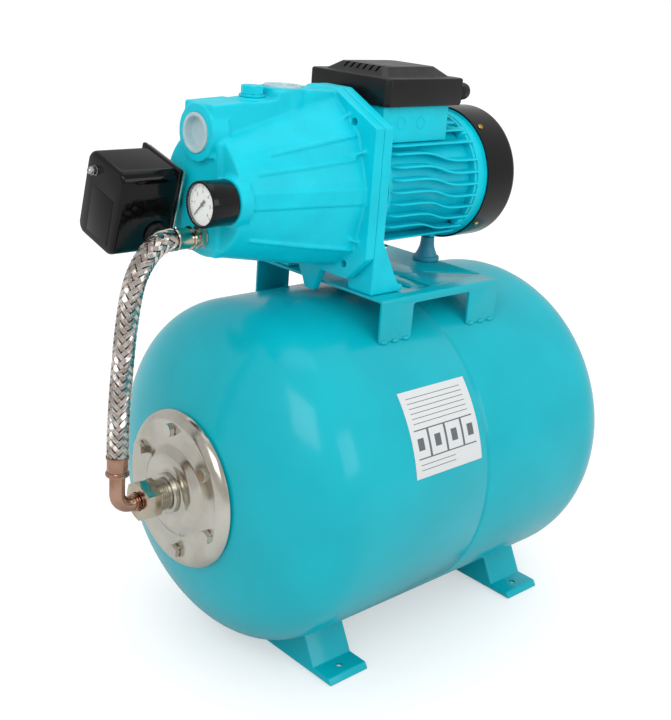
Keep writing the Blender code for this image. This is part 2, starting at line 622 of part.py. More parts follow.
def build_casing():
    skin = [(-0.2420, 0.0, 0.93), (-0.2385, 0.0, 0.98), (-0.2330, 0.01, 1.0), (-0.1600, 0.62, 1.0),
            (-0.1000, 1.0, 1.0)]
    casing = loft("pump_casing", body_rings(skin, 0.0), PUMP_PAINT)
    flange = prism("casing_flange", OCTAGON, (FLANGE_FRONT_X, SPLIT_X - GAP), PUMP_PAINT)
    top = [(-0.2500, 0.5300), (-0.2500, 0.5775), (-0.2080, 0.5800), (-0.2040, 0.5790), (-0.1768, 0.5812),
           (-0.1740, 0.5880), (-0.1300, 0.5895), (-0.1020, 0.5880), (-0.1020, 0.5300)]
    ridge = prism("top_block", top, (-0.0215, 0.0215), PUMP_PAINT, along="Y")
    band = block("face_band", (-0.2455, -0.0270, 0.4405), (-0.2335, 0.0270, 0.5450), PUMP_PAINT)
    suction = round_bar("suction_boss", 0.0260, (-0.2520, -0.2325), PUMP_PAINT, (0, 0, SUCTION_Z), steps=20)
    gauge = round_bar("gauge_boss", 0.0225, (-0.2477, -0.2330), PUMP_PAINT, (0, GAUGE_Y, GAUGE_Z), steps=20)
    outlet = round_bar("outlet_boss", 0.0230, (0.5500, 0.5905), PUMP_PAINT, (OUTLET_X, 0, 0), "Z", 20)
    lug = loft("drain_lug", [[(-0.1050, -0.020, 0.416), (-0.0943, -0.020, 0.416), (-0.0943, 0.020, 0.416),
                              (-0.1050, 0.020, 0.416)],
                             [(-0.1030, -0.0065, 0.3850), (-0.0950, -0.0065, 0.3850),
                              (-0.0950, 0.0065, 0.3850), (-0.1030, 0.0065, 0.3850)]], PUMP_PAINT)
    join(casing, flange, ridge, band, suction, gauge, outlet, lug)
    hollow = loft("volute", body_rings([(-0.2290, 0.0, 0.85), (-0.2200, 0.05, 1.0), (-0.1600, 0.62, 1.0),
                                        (-0.0880, 1.05, 1.0)], 0.0065), PUMP_PAINT)
    bores = [round_bar("suction_bore", G1_BORE, (-0.26, -0.21), PUMP_PAINT, (0, 0, SUCTION_Z), steps=20),
             round_bar("suction_recess", PLUG_RIM + GAP, (-0.26, -0.2508), PUMP_PAINT, (0, 0, SUCTION_Z),
                       steps=20),
             round_bar("outlet_recess", PLUG_RIM + GAP, (0.5892, 0.60), PUMP_PAINT, (OUTLET_X, 0, 0), "Z",
                       20),
             round_bar("outlet_bore", G1_BORE, (0.55, 0.60), PUMP_PAINT, (OUTLET_X, 0, 0), "Z", 20),
             round_bar("priming_bore", 0.0068, (0.5405, 0.60), PUMP_PAINT, (PRIMING_X, 0, 0), "Z", 12),
             round_bar("gauge_bore", 0.0053, (-0.26, -0.22), PUMP_PAINT, (0, GAUGE_Y, GAUGE_Z), steps=12),
             round_bar("hose_bore", 0.0063, (-0.26, -0.22), PUMP_PAINT, (0, *HOSE_PORT), steps=12),
             round_bar("switch_bore", 0.0063, (-0.26, -0.22), PUMP_PAINT, (0, *SWITCH_NIPPLE), steps=12)]
    bores += [round_bar("casing_bolt_hole", 0.0038, (-0.12, -0.08), PUMP_PAINT, spot, steps=8)
              for spot in casing_bolt_spots()]
    cut(casing, hollow, *bores)

    thread = G1_THREAD
    turned("suction_port_plug",
           [(-0.2465, 0.0), (-0.2465, 0.0135), (-0.2535, 0.0145), (-0.2535, PLUG_RIM), (-0.2511, PLUG_RIM),
            (-0.2511, thread), (-0.2380, thread), (-0.2380, 0.0)],
           NATURAL_PLASTIC, (0, 0, SUCTION_Z), steps=20)
    turned("outlet_port_plug",
           [(0.5780, 0.0), (0.5780, thread), (0.5895, thread), (0.5895, PLUG_RIM), (0.5923, PLUG_RIM),
            (0.5923, 0.0140), (0.5860, 0.0135), (0.5860, 0.0)],
           NATURAL_PLASTIC, (OUTLET_X, 0, 0), "Z", 20)
    hex_fastener("priming_plug", [(0.5660, 0.0130, False), (0.5818, 0.0130, False), (0.58185, 0.0240, False),
                                  (0.5840, 0.0240, False), (0.58405, 0.0190, True), (0.5915, 0.0190, True),
                                  (0.5922, 0.0170, True)],
                 PUMP_PAINT, (PRIMING_X, 0, 0), (0, -math.pi / 2, 0))


def casing_bolt_spots():
    return [(0.0, side * 0.050, PUMP_Z + rise) for side in (-1, 1) for rise in (-0.071, 0.068)]


def build_hydraulics():
    """Inside the casing: ejector, diffuser, impeller and shaft seal."""
    axis = (0, 0, PUMP_Z)
    turned("ejector_body",
           [(-0.2180, 0.0100), (-0.2180, 0.0140), (-0.2050, 0.0140), (-0.1950, 0.0100), (-0.1500, 0.0150),
            (-0.1500, 0.0200), (-0.1462, 0.0200), (-0.1462, 0.0115), (-0.1900, 0.0060), (-0.2050, 0.0085)],
           NORYL, axis, steps=20)
    turned("diffuser",
           [(-0.1460, 0.0165), (-0.1460, 0.0560), (-0.1200, 0.0600), (-0.1200, 0.0570), (-0.1430, 0.0530),
            (-0.1430, 0.0165)],
           NORYL, axis, steps=20)
    impeller = turned("impeller",
                      [(-0.1400, 0.0140), (-0.1400, 0.0480), (-0.1380, 0.0480), (-0.1380, 0.0140)],
                      NORYL, axis, steps=20)
    shroud = turned("back_shroud",
                    [(-0.1310, SHAFT_RADIUS + GAP), (-0.1310, 0.0480), (-0.1285, 0.0480),
                     (-0.1285, 0.0130), (-0.1230, 0.0130), (-0.1230, SHAFT_RADIUS + GAP)],
                    NORYL, axis, steps=20)
    vanes = [block("vane", (-0.1385, 0.0160, -0.0010), (-0.1305, 0.0470, 0.0010), NORYL, at=axis,
                   turn=(math.radians(360 / VANES * i), 0, 0)) for i in range(VANES)]
    join(impeller, shroud, *vanes)
    turned("seal_head",
           [(-0.1220, SHAFT_RADIUS + GAP), (-0.1220, 0.0125), (-0.1090, 0.0125), (-0.1090, 0.0105),
            (-0.1060, 0.0105), (-0.1060, SHAFT_RADIUS + GAP)],
           NEEDLE_BLACK, axis, steps=20)
    turned("seal_seat",
           [(-0.1057, 0.0080), (-0.1057, 0.0140), (-0.0950, 0.0140), (-0.0950, 0.0080)],
           CERAMIC, axis, steps=20)
    middle_x, thick = -0.1125, 0.0016
    ring = [(middle_x + thick * math.cos(math.radians(a)), 0.0560 + thick * math.sin(math.radians(a)))
            for a in range(0, 360, 60)]
    turned("casing_o_ring", ring, RUBBER, axis, steps=24)


# ---------------------------------------------------------------- motor bracket and motor


def build_bracket():
    legs = [(-0.080, 0.3963), (-0.080, 0.561), (-0.018, 0.591), (0.018, 0.591), (0.080, 0.561),
            (0.080, 0.3963), (0.046, 0.3963), (0.044, 0.410), (-0.044, 0.410), (-0.046, 0.3963)]
    bracket = prism("motor_bracket", legs, (SPLIT_X, BRACKET_BACK_X), PUMP_PAINT)
    gusset = [(-0.0810, 0.4500), (-0.0800, 0.4500), (-0.0540, 0.4020), (-0.0540, 0.3990), (-0.0810, 0.3990)]
    toe = [(-0.0820, 0.4140), (-0.0600, 0.4140), (-0.0535, 0.4030), (-0.0480, 0.4030), (-0.0480, 0.3963),
           (-0.0820, 0.3963)]
    toes = []
    for side in (-1, 1):
        toes.append(prism("gusset", gusset, sorted((side * 0.0590, side * 0.0795)), PUMP_PAINT, along="Y"))
        toes.append(prism("toe", toe, sorted((side * 0.0470, side * 0.0797)), PUMP_PAINT, along="Y"))
    join(bracket, *toes)
    axis = (0, 0, PUMP_Z)
    cut(bracket, round_bar("core_hole", 0.0300, (-0.10, -0.07), PUMP_PAINT, axis, steps=20))
    hub = [(-0.1180, 0.0143), (-0.1180, 0.0545), (-0.0900, 0.0545), (-0.0890, 0.0480), (-0.0660, 0.0480),
           (-0.0660, 0.0400), (-0.0790, 0.0390), (-0.0790, 0.0265), (-0.0640, 0.0255), (-0.0640, 0.0203),
           (-0.0767, 0.0203), (-0.0767, 0.0085), (-0.0945, 0.0085), (-0.0945, 0.0143)]
    join(bracket, turned("hub", hub, PUMP_PAINT, axis, steps=24))
    openings = [block("drip_window", (-0.0780, y - 0.012, PUMP_Z - 0.022),
                      (-0.0700, y + 0.012, PUMP_Z + 0.022), PUMP_PAINT) for y in (-0.045, 0.045)]
    openings += [round_bar("bracket_bolt_hole", 0.0038, (-0.12, -0.07), PUMP_PAINT, spot, steps=8)
                 for spot in casing_bolt_spots()]
    cut(bracket, *openings)
    head = BRACKET_BACK_X + GAP
    sections = [(-0.1025, 0.0064, False), (head - 0.00005, 0.0064, False), (head, 0.0130, True),
                (head + 0.0048, 0.0130, True), (head + 0.0055, 0.0120, True)]
    for number, spot in enumerate(casing_bolt_spots(), start=1):
        hex_fastener(f"casing_bolt_{number}", sections, ZINC, spot)


def bearing(name, start, width, outer, bore):
    edge = 0.0008
    turned(name, [(start, bore), (start, outer - edge), (start + edge, outer), (start + width - edge, outer),
                  (start + width, outer - edge), (start + width, bore)],
           STEEL, (0, 0, PUMP_Z), steps=20)


def wavy_fin(height, side):
    """A longitudinal fin that dips by most of a pitch halfway along, reaching out to the frame's round."""
    stations = [-0.052, -0.014, 0.002, 0.018, 0.034, 0.064]
    rings = []
    for x in stations:
        dip = FIN_PITCH * 0.42 * (1 - math.tanh((x - 0.010) / 0.016))
        middle = height + dip - FIN_PITCH * 0.42
        reach = math.sqrt(FIN_RADIUS**2 - min(abs(middle), 0.060) ** 2)
        root = 0.030
        z = PUMP_Z + middle
        rings.append([(x, side * root, z - 0.0014), (x, side * reach, z - 0.0009),
                      (x, side * reach, z + 0.0009), (x, side * root, z + 0.0014)])
    return loft("fin", rings, PUMP_PAINT)


def build_motor():
    axis = (0, 0, PUMP_Z)
    frame = turned("motor_frame",
                   [(MOTOR_X[0], 0.0500), (MOTOR_X[0], 0.0625), (-0.0570, 0.0625), (-0.0550, MOTOR_TUBE),
                    (0.0620, MOTOR_TUBE), (0.0625, 0.0670), (MOTOR_X[1], 0.0670), (MOTOR_X[1], 0.0500)],
                   PUMP_PAINT, axis, steps=28)
    box = block("terminal_box_base", (-0.0655, -0.0500, 0.5450), (0.0280, 0.0500, LID_BASE - GAP), PUMP_PAINT)
    heights = [(k - (FINS_A_SIDE - 1) / 2) * FIN_PITCH for k in range(FINS_A_SIDE)]
    join(frame, box, *[wavy_fin(height, side) for height in heights for side in (-1, 1)])
    cut(frame, round_bar("stator_bore", STATOR_RADIUS + GAP, (-0.08, 0.08), PUMP_PAINT, axis, steps=24),
        block("wiring_well", (-0.0600, -0.0440, 0.5535), (0.0230, 0.0440, 0.60), PUMP_PAINT))

    core_x = (-0.035, 0.045)
    core = turned("stator_core", [(core_x[0], 0.0315), (core_x[0], STATOR_RADIUS), (core_x[1], STATOR_RADIUS),
                                  (core_x[1], 0.0315)], LAMINATION, axis, steps=24)
    windings = turned("stator_windings", [(-0.0520, 0.0345), (-0.0520, 0.0490), (-0.0370, 0.0490),
                                          (-0.0370, 0.0345)], COPPER, axis, steps=20)
    copper = [turned("rear_overhang", [(0.0470, 0.0345), (0.0470, 0.0490), (0.0615, 0.0490),
                                       (0.0615, 0.0345)], COPPER, axis, steps=20)]
    slots = []
    for i in range(STATOR_SLOTS):
        turn = (2 * math.pi * (i + 0.5) / STATOR_SLOTS, 0, 0)
        slots.append(block("slot", (-0.05, 0.0360, -0.0062), (0.06, 0.0480, 0.0062), LAMINATION, axis, turn))
        copper.append(block("slot_bar", (-0.0400, 0.0365, -0.0056), (0.0500, 0.0470, 0.0056), COPPER, axis,
                            turn))
    cut(core, *slots)
    join(windings, *copper)
    turned("rotor_core", [(core_x[0], SHAFT_RADIUS + 0.0015 + GAP), (core_x[0], 0.0308), (core_x[1], 0.0308),
                          (core_x[1], SHAFT_RADIUS + 0.0015 + GAP)], LAMINATION, axis, steps=24)
    turned("shaft", [(-0.1450, 0.0), (-0.1450, SHAFT_RADIUS), (-0.0600, SHAFT_RADIUS), (-0.0590, 0.0085),
                     (0.0640, 0.0085), (0.0650, SHAFT_RADIUS), (0.1130, SHAFT_RADIUS), (0.1130, 0.0)],
           STEEL, axis, steps=16)
    bearing("front_bearing", -0.0762, 0.0120, 0.0200, SHAFT_RADIUS + GAP)
    bearing("rear_bearing", 0.0672, 0.0100, 0.0160, SHAFT_RADIUS + GAP)

    shield = turned("rear_end_shield",
                    [(MOTOR_X[1] + GAP, 0.0163), (MOTOR_X[1] + GAP, 0.0680), (0.0770, 0.0680),
                     (0.0770, 0.0240), (0.0800, 0.0230), (0.0800, 0.0100), (0.0776, 0.0100),
                     (0.0776, 0.0163)],
                    PUMP_PAINT, axis, steps=24)
    join(shield, block("foot_boss", (0.0672, -0.0080, 0.4235), (0.0765, 0.0080, 0.4340), PUMP_PAINT))

    fan = turned("cooling_fan", [(0.0880, SHAFT_RADIUS + GAP), (0.0880, 0.0140), (0.0900, 0.0520),
                                 (0.0920, 0.0520), (0.0920, 0.0150), (0.1060, 0.0140),
                                 (0.1060, SHAFT_RADIUS + GAP)], NORYL, axis, steps=20)
    join(fan, *[block("blade", (0.0905, 0.0120, -0.0010), (0.1120, 0.0610, 0.0010), NORYL, axis,
                      (math.radians(360 / FAN_BLADES * i), 0, 0)) for i in range(FAN_BLADES)])
    rear = COVER_X[1]
    outer = [(COVER_X[0], COVER_RADIUS), (rear - 0.0090, COVER_RADIUS),
             (rear - 0.0026, COVER_RADIUS - 0.0026), (rear, COVER_RADIUS - 0.0090), (rear, 0.0)]
    inner = [(rear - 0.0020, 0.0), (rear - 0.0020, COVER_RADIUS - 0.0098),
             (rear - 0.0042, COVER_RADIUS - 0.0042), (rear - 0.0098, COVER_RADIUS - 0.0020),
             (COVER_X[0], COVER_RADIUS - 0.0020)]
    cover = turned("fan_cover", outer + inner, BLACK_STEEL, axis, steps=24)
    cut(cover, *[block("air_slot", (0.115, 0.0200, -0.0042), (0.135, 0.0560, 0.0042), BLACK_STEEL, axis,
                       (math.radians(360 / AIR_SLOTS * i), 0, 0)) for i in range(AIR_SLOTS)])

    turned("rear_foot", [(SADDLE_TOP + GAP, 0.0), (SADDLE_TOP + GAP, 0.0145), (0.4010, 0.0148),
                         (0.4050, 0.0125), (0.4110, 0.0085), (0.4225, 0.0075), (0.4225, 0.0)],
           BLUE_RUBBER, (0.0720, 0, 0), "Z", 20)


def build_terminal_box():
    low_x, high_x = LID_X
    low_y, high_y = LID_Y

    def rectangle(inset_x, inset_y, z):
        return [(low_x + inset_x, low_y + inset_y, z), (high_x - inset_x, low_y + inset_y, z),
                (high_x - inset_x, high_y - inset_y, z), (low_x + inset_x, high_y - inset_y, z)]

    levels = [rectangle(0.001, 0.001, LID_BASE), rectangle(0.0, 0.0, LID_BASE + 0.003),
              rectangle(0.0, 0.0, LID_SHOULDER - 0.002), rectangle(0.002, 0.002, LID_SHOULDER),
              rectangle(0.009, 0.014, LID_SHOULDER), rectangle(0.018, 0.026, LID_TOP)]
    lid = loft("terminal_box_lid", levels, BLACK_PLASTIC)
    gland_y, gland_z = -0.044, 0.5885
    cut(lid, block("lid_hollow", (low_x + 0.003, low_y + 0.003, 0.5700),
                   (high_x - 0.003, high_y - 0.003, 0.6000), BLACK_PLASTIC),
        round_bar("gland_hole", 0.0073, (0.02, 0.06), BLACK_PLASTIC, (0, gland_y, gland_z), steps=16))
    gland = hex_fastener("cable_gland", [(0.0345, 0.0140, False), (high_x + GAP, 0.0140, False),
                                         (high_x + GAP + 0.0001, 0.0200, True), (0.0470, 0.0200, True),
                                         (0.0471, 0.0180, False), (0.0560, 0.0165, False),
                                         (0.0580, 0.0130, False)], BLACK_PLASTIC, (0, gland_y, gland_z))
    cut(gland, round_bar("cord_entry", 0.0040, (0.03, 0.07), BLACK_PLASTIC, (0, gland_y, gland_z), steps=12))
    turned("capacitor", [(-0.0570, 0.0), (-0.0570, 0.0150), (0.0160, 0.0150), (0.0160, 0.0)], BLACK_PLASTIC,
           (0, 0.0200, 0.5705), steps=20)


# ---------------------------------------------------------------- gauge and pressure switch


def build_gauge():
    at = (0, GAUGE_Y, GAUGE_Z)
    front = GAUGE_FRONT_X
    turned("gauge_case",
           [(-0.2390, 0.0), (-0.2390, 0.0050), (GAUGE_BACK_X, 0.0050), (GAUGE_BACK_X, GAUGE_RADIUS - 0.0010),
            (GAUGE_BACK_X - 0.0010, GAUGE_RADIUS), (front + 0.0005, GAUGE_RADIUS),
            (front, GAUGE_RADIUS - 0.0005), (front, 0.0188), (-0.2730, 0.0188), (-0.2730, 0.0)],
           BLACK_PLASTIC, at, steps=24)
    turned("gauge_dial", [(-0.2741, 0.0015), (-0.2741, 0.0184), (-0.2733, 0.0184), (-0.2733, 0.0015)],
           DIAL_WHITE, at, steps=24)
    turned("gauge_lens", [(-0.2770, 0.0), (-0.2770, 0.0185), (-0.2760, 0.0185), (-0.2760, 0.0)], LENS, at,
           steps=24)
    zero = math.radians(NEEDLE_ZERO)
    pointer = [(-0.0013, -0.0055), (0.0013, -0.0055), (0.0011, 0.0), (0.0004, 0.0145), (-0.0004, 0.0145),
               (-0.0011, 0.0)]
    needle = prism("gauge_needle", pointer, (-0.2752, -0.2748), NEEDLE_BLACK, at=at, turn=(zero, 0, 0))
    join(needle, round_bar("needle_hub", 0.0018, (-0.2756, -0.2745), NEEDLE_BLACK, at, steps=10))


def in_switch(x, y, z):
    """A point of the switch's own frame, in the rig's frame."""
    turned_point = Matrix.Rotation(SWITCH_LEAN, 3, "X") @ Vector((x, y, z))
    return turned_point + Vector(SWITCH_CENTRE)


def build_switch():
    turn = (SWITCH_LEAN, 0, 0)
    wide, high = SWITCH_WIDTH / 2, SWITCH_HEIGHT / 2
    front, back = SWITCH_X
    cover = block("switch_cover", (front, -wide, -high), (back - 0.0030, wide, high), GLOSS_BLACK,
                  SWITCH_CENTRE, turn, 0.0050, 2)
    lip = block("cover_lip", (back - 0.0080, -wide - 0.0015, -high - 0.0015),
                (back - 0.0032, wide + 0.0015, high + 0.0015), GLOSS_BLACK, SWITCH_CENTRE, turn, 0.0020, 1)
    join(cover, lip)
    stud = in_switch(0, *SWITCH_NUT)
    cut(cover, block("cover_hollow", (front + 0.0022, -wide + 0.0022, -high + 0.0022),
                     (back + 0.0100, wide - 0.0022, high - 0.0022), GLOSS_BLACK, SWITCH_CENTRE, turn),
        round_bar("stud_hole", 0.0034, (-0.33, -0.31), GLOSS_BLACK, stud, steps=12))

    base = block("switch_base", (back - 0.0024, -wide + 0.0005, -high + 0.0005),
                 (back + 0.0005, wide - 0.0005, high - 0.0005), ZINC, SWITCH_CENTRE, turn)
    nipple = (0, *SWITCH_NIPPLE)
    join(base, round_bar("stud", 0.0030, (-0.3215, back), ZINC, stud, steps=12),
         round_bar("nipple", 0.0060, (back, -0.2340), ZINC, nipple, steps=12),
         round_bar("diaphragm_can", 0.0150, (back - 0.0002, -0.2430), ZINC, nipple, steps=20),
         block("contact_block", (-0.2780, 0.0120, -0.0330), (back, 0.0270, 0.0120), BLACK_PLASTIC,
               SWITCH_CENTRE, turn))
    nut = hex_fastener("switch_cap_nut",
                       [(front - GAP, 0.0092, False), (front - GAP - 0.0008, 0.0092, False),
                        (front - GAP - 0.0009, 0.0080, True), (-0.3225, 0.0080, True),
                        (-0.3226, 0.0070, False), (-0.3255, 0.0055, False), (-0.3270, 0.0025, False)],
                       STEEL, stud)
    cut(nut, round_bar("cap_nut_thread", 0.0033, (-0.3222, -0.3100), STEEL, stud, steps=12))
    pivot = in_switch(*LEVER_PIVOT)
    lever = block("switch_lever", (-0.0010, -0.0170, 0.0), (0.0010, 0.0090, 0.0450), STEEL, pivot, turn)
    pin = round_bar("pivot_pin", 0.0020, (-0.0180, 0.0100), STEEL, pivot, "Y", 10)
    pin.rotation_euler.x += SWITCH_LEAN
    join(lever, pin)


def main():
    build_tank()
    build_counterflange()
    build_feet()
    build_saddle()
    build_hose()
    build_casing()
    build_hydraulics()
    build_bracket()
    build_motor()
    build_terminal_box()
    build_gauge()
    build_switch()
    settle_all()


main()
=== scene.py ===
"""Booster set: a jet-type centrifugal pump on a horizontal pressure tank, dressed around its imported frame.

Metres, Z up. X runs along the pump shaft, from the suction end to the motor's fan. Stations along X are
measured from the tank's weld seam.
"""

import json
import logging
import math
from dataclasses import dataclass, field
from enum import Enum
from typing import Callable, Iterable, Sequence

import bmesh
import bpy
from mathutils import Matrix, Vector


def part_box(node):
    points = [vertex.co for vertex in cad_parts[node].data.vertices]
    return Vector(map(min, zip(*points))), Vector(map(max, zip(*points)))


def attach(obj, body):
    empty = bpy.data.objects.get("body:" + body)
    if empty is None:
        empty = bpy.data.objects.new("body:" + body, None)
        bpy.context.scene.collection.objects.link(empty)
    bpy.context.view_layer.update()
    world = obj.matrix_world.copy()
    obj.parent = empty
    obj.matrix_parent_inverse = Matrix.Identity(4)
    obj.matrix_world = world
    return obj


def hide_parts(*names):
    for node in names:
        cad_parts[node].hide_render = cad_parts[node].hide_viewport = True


LOG = logging.getLogger("booster_set")
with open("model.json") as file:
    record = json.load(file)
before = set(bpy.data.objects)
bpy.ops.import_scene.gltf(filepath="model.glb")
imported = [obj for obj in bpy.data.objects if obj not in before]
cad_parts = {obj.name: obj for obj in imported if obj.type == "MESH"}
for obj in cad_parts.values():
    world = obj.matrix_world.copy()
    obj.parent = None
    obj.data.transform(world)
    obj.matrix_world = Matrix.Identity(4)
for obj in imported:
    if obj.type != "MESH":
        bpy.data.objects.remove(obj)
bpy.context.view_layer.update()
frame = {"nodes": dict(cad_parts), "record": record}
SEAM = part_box("tank_front_shell")[1].x  # world X of the weld seam, where the front shell ends
STATIC = "pump_set"
FULL_TURN = 2 * math.pi

TANK_Z = 0.200  # the tank's axis
TANK_RADIUS = 0.180
SHAFT_Z = 0.495  # the pump's and the motor's shaft
BOLT_SPOTS = [(y, z) for y in (-0.050, 0.050) for z in (0.424, 0.563)]  # casing to bracket
BOLT_HOLE = 0.0038
COWL_SCREW_ANGLES = (50.7, 129.3, -41.0, -139.0)  # degrees about the shaft, from +Y

Point = tuple[float, float, float]
Pair = tuple[float, float]


class Axis(Enum):
    """A main direction, for spinning and extruding."""

    X = (1.0, 0.0, 0.0)
    Y = (0.0, 1.0, 0.0)
    Z = (0.0, 0.0, 1.0)

    @property
    def vector(self) -> Vector:
        """The direction as a vector."""
        return Vector(self.value)

    def point(self, along: float, out: float, at: Point = (0, 0, 0)) -> Vector:
        """A point at a station along the axis and a distance out from it.

        Args:
            along: station on the axis; for X it is measured from the seam.
            out: distance from the axis.
            at: a point the axis passes through.

        Returns:
            The point in the row frame.
        """
        if self is Axis.X:
            return Vector((along + SEAM, at[1], at[2] + out))
        if self is Axis.Y:
            return Vector((at[0] + SEAM, along, at[2] + out))
        return Vector((at[0] + SEAM + out, at[1], along))

    def flat(self, a: float, b: float, height: float) -> Vector:
        """A point of an outline drawn across the axis, at a height along it.

        Args:
            a: the outline's first number.
            b: the outline's second number.
            height: station along the axis.

        Returns:
            The point in the row frame.
        """
        if self is Axis.X:
            return Vector((height + SEAM, a, b))
        if self is Axis.Y:
            return Vector((a + SEAM, height, b))
        return Vector((a + SEAM, b, height))


class Pattern(Enum):
    """What a finish draws beside its grain."""

    PLAIN = "plain"
    TURNED = "turned"
    PRINTED = "printed"


# ---------------------------------------------------------------- finishes


def linear(colour: str) -> tuple[float, float, float, float]:
    """Turns an sRGB hex colour to linear.

    Args:
        colour: six hex digits after a hash.

    Returns:
        Linear red, green, blue and an alpha of 1.
    """
    parts = [int(colour[i:i + 2], 16) / 255 for i in (1, 3, 5)]
    return (*[p / 12.92 if p <= 0.04045 else ((p + 0.055) / 1.055) ** 2.4 for p in parts], 1.0)


def add_node(tree: bpy.types.NodeTree, kind: str, settings: dict | None = None,
             links: dict | None = None) -> bpy.types.Node:
    """Adds a node with its settings and links.

    Args:
        tree: the material's node tree.
        kind: the node's type name without its ShaderNode prefix.
        settings: values for sockets or properties, by name.
        links: output sockets to join to this node's inputs, by name or index.

    Returns:
        The new node.
    """
    made = tree.nodes.new("ShaderNode" + kind)
    for name, value in (settings or {}).items():
        if isinstance(name, int) or name in made.inputs:
            made.inputs[name].default_value = value
        else:
            setattr(made, name, value)
    for name, output in (links or {}).items():
        tree.links.new(output, made.inputs[name])
    return made


COAT_ROUGHNESS = 0.06
TONE_STOPS = (0.35, 0.62)  # where the noise passes from one tone to the other


@dataclass(frozen=True)
class Finish:
    """A surface: what the material is and how it was made."""

    name: str
    slot: str
    colour: str
    roughness: float
    metallic: float = 0.0
    coat: float = 0.0
    ior: float = 1.5
    second_colour: str = ""
    mottle_mm: float = 60.0
    smudge: float = 0.0
    grain_mm: float = 1.0
    grain_height_mm: float = 0.0
    transmission: float = 0.0
    alpha: float = 1.0
    pattern: Pattern = Pattern.PLAIN

    def material(self) -> bpy.types.Material:
        """Makes the material, or finds the one already made.

        Returns:
            The material.
        """
        known = bpy.data.materials.get(self.name)
        if known:
            return known
        made = bpy.data.materials.new(self.name)
        made.use_nodes = True
        tree = made.node_tree
        shader = tree.nodes["Principled BSDF"]
        place = add_node(tree, "TexCoord").outputs["Object"]
        for socket, value in (("Metallic", self.metallic), ("IOR", self.ior), ("Coat Weight", self.coat),
                              ("Coat Roughness", COAT_ROUGHNESS), ("Transmission Weight", self.transmission),
                              ("Alpha", self.alpha)):
            shader.inputs[socket].default_value = value
        self.paint(tree, shader, place)
        self.wear(tree, shader, place)
        if self.grain_height_mm:
            self.roughen(tree, shader, place)
        return made

    def paint(self, tree: bpy.types.NodeTree, shader: bpy.types.Node, place: bpy.types.NodeSocket) -> None:
        """Colours the surface, wandering between two close tones.

        Args:
            tree: the material's node tree.
            shader: its Principled shader.
            place: the coordinate socket.
        """
        if self.pattern is Pattern.PRINTED:
            tree.links.new(self.print_lines(tree), shader.inputs["Base Color"])
            return
        cloud = add_node(tree, "TexNoise", {"Scale": 1000 / self.mottle_mm, "Detail": 4.0, "Roughness": 0.55},
                         {"Vector": place})
        tones = add_node(tree, "ValToRGB", links={"Fac": cloud.outputs["Fac"]})
        for stop, position, colour in zip(tones.color_ramp.elements, TONE_STOPS,
                                          (self.second_colour or self.colour, self.colour)):
            stop.position = position
            stop.color = linear(colour)
        tree.links.new(tones.outputs["Color"], shader.inputs["Base Color"])

    def print_lines(self, tree: bpy.types.NodeTree) -> bpy.types.NodeSocket:
        """Rules a sheet into blank grey lines and boxes, as on a rating plate, with no lettering.

        Args:
            tree: the material's node tree.

        Returns:
            The colour socket.
        """
        sheet = add_node(tree, "TexCoord").outputs["UV"]
        split = add_node(tree, "SeparateXYZ", links={"Vector": sheet})
        across, up = split.outputs["X"], split.outputs["Y"]

        def math_node(kind: str, first: object, second: object = 0.0) -> bpy.types.NodeSocket:
            """One Math node on sockets or numbers."""
            settings, links = {"operation": kind}, {}
            for slot_number, value in enumerate((first, second)):
                if isinstance(value, bpy.types.NodeSocket):
                    links[slot_number] = value
                else:
                    settings[slot_number] = value
            return add_node(tree, "Math", settings, links).outputs[0]

        def inside(value: object, low: float, high: float) -> bpy.types.NodeSocket:
            """1 where a value lies between two numbers."""
            return math_node("MULTIPLY", math_node("GREATER_THAN", value, low),
                             math_node("LESS_THAN", value, high))

        def area(heights: Pair, widths: Pair) -> bpy.types.NodeSocket:
            """1 inside a rectangle of the sheet, given as shares of its height and width."""
            return math_node("MULTIPLY", inside(up, *heights), inside(across, *widths))

        line_count, box_count = 17.0, 4.0
        margins = (0.06, 0.94)
        rows = inside(math_node("FRACT", math_node("MULTIPLY", up, line_count)), 0.42, 0.56)
        ruled = math_node("MULTIPLY", rows, math_node("ADD", area((0.60, 0.94), (0.08, 0.90)),
                                                      area((0.06, 0.16), (0.08, 0.60))))
        column = math_node("FRACT", math_node("MULTIPLY", across, box_count))
        frames = math_node("MULTIPLY", math_node("SUBTRACT", 1.0, inside(column, *margins)),
                           area((0.22, 0.54), margins))
        edges = math_node("ADD", area((0.535, 0.55), margins), area((0.21, 0.225), margins))
        blobs = math_node("MULTIPLY", inside(column, 0.32, 0.68), inside(up, 0.31, 0.45))
        ink = math_node("MINIMUM", math_node("ADD", math_node("ADD", ruled, frames),
                                             math_node("ADD", edges, blobs)), 1.0)
        blend = add_node(tree, "Mix", {"data_type": "RGBA"}, {0: ink})
        blend.inputs[6].default_value = linear(self.colour)
        blend.inputs[7].default_value = linear(self.second_colour)
        return blend.outputs[2]

    def wear(self, tree: bpy.types.NodeTree, shader: bpy.types.Node, place: bpy.types.NodeSocket) -> None:
        """Lets the gloss wander, from handling and uneven curing.

        Args:
            tree: the material's node tree.
            shader: its Principled shader.
            place: the coordinate socket.
        """
        cloud = add_node(tree, "TexNoise", {"Scale": 1000 / (self.mottle_mm * 0.45), "Detail": 3.0},
                         {"Vector": place})
        spread = max(self.smudge, 0.01)
        reach = {"From Min": 0.3, "From Max": 0.7, "To Min": max(0.02, self.roughness - spread),
                 "To Max": self.roughness + spread}
        gloss = add_node(tree, "MapRange", reach, {"Value": cloud.outputs["Fac"]})
        tree.links.new(gloss.outputs["Result"], shader.inputs["Roughness"])

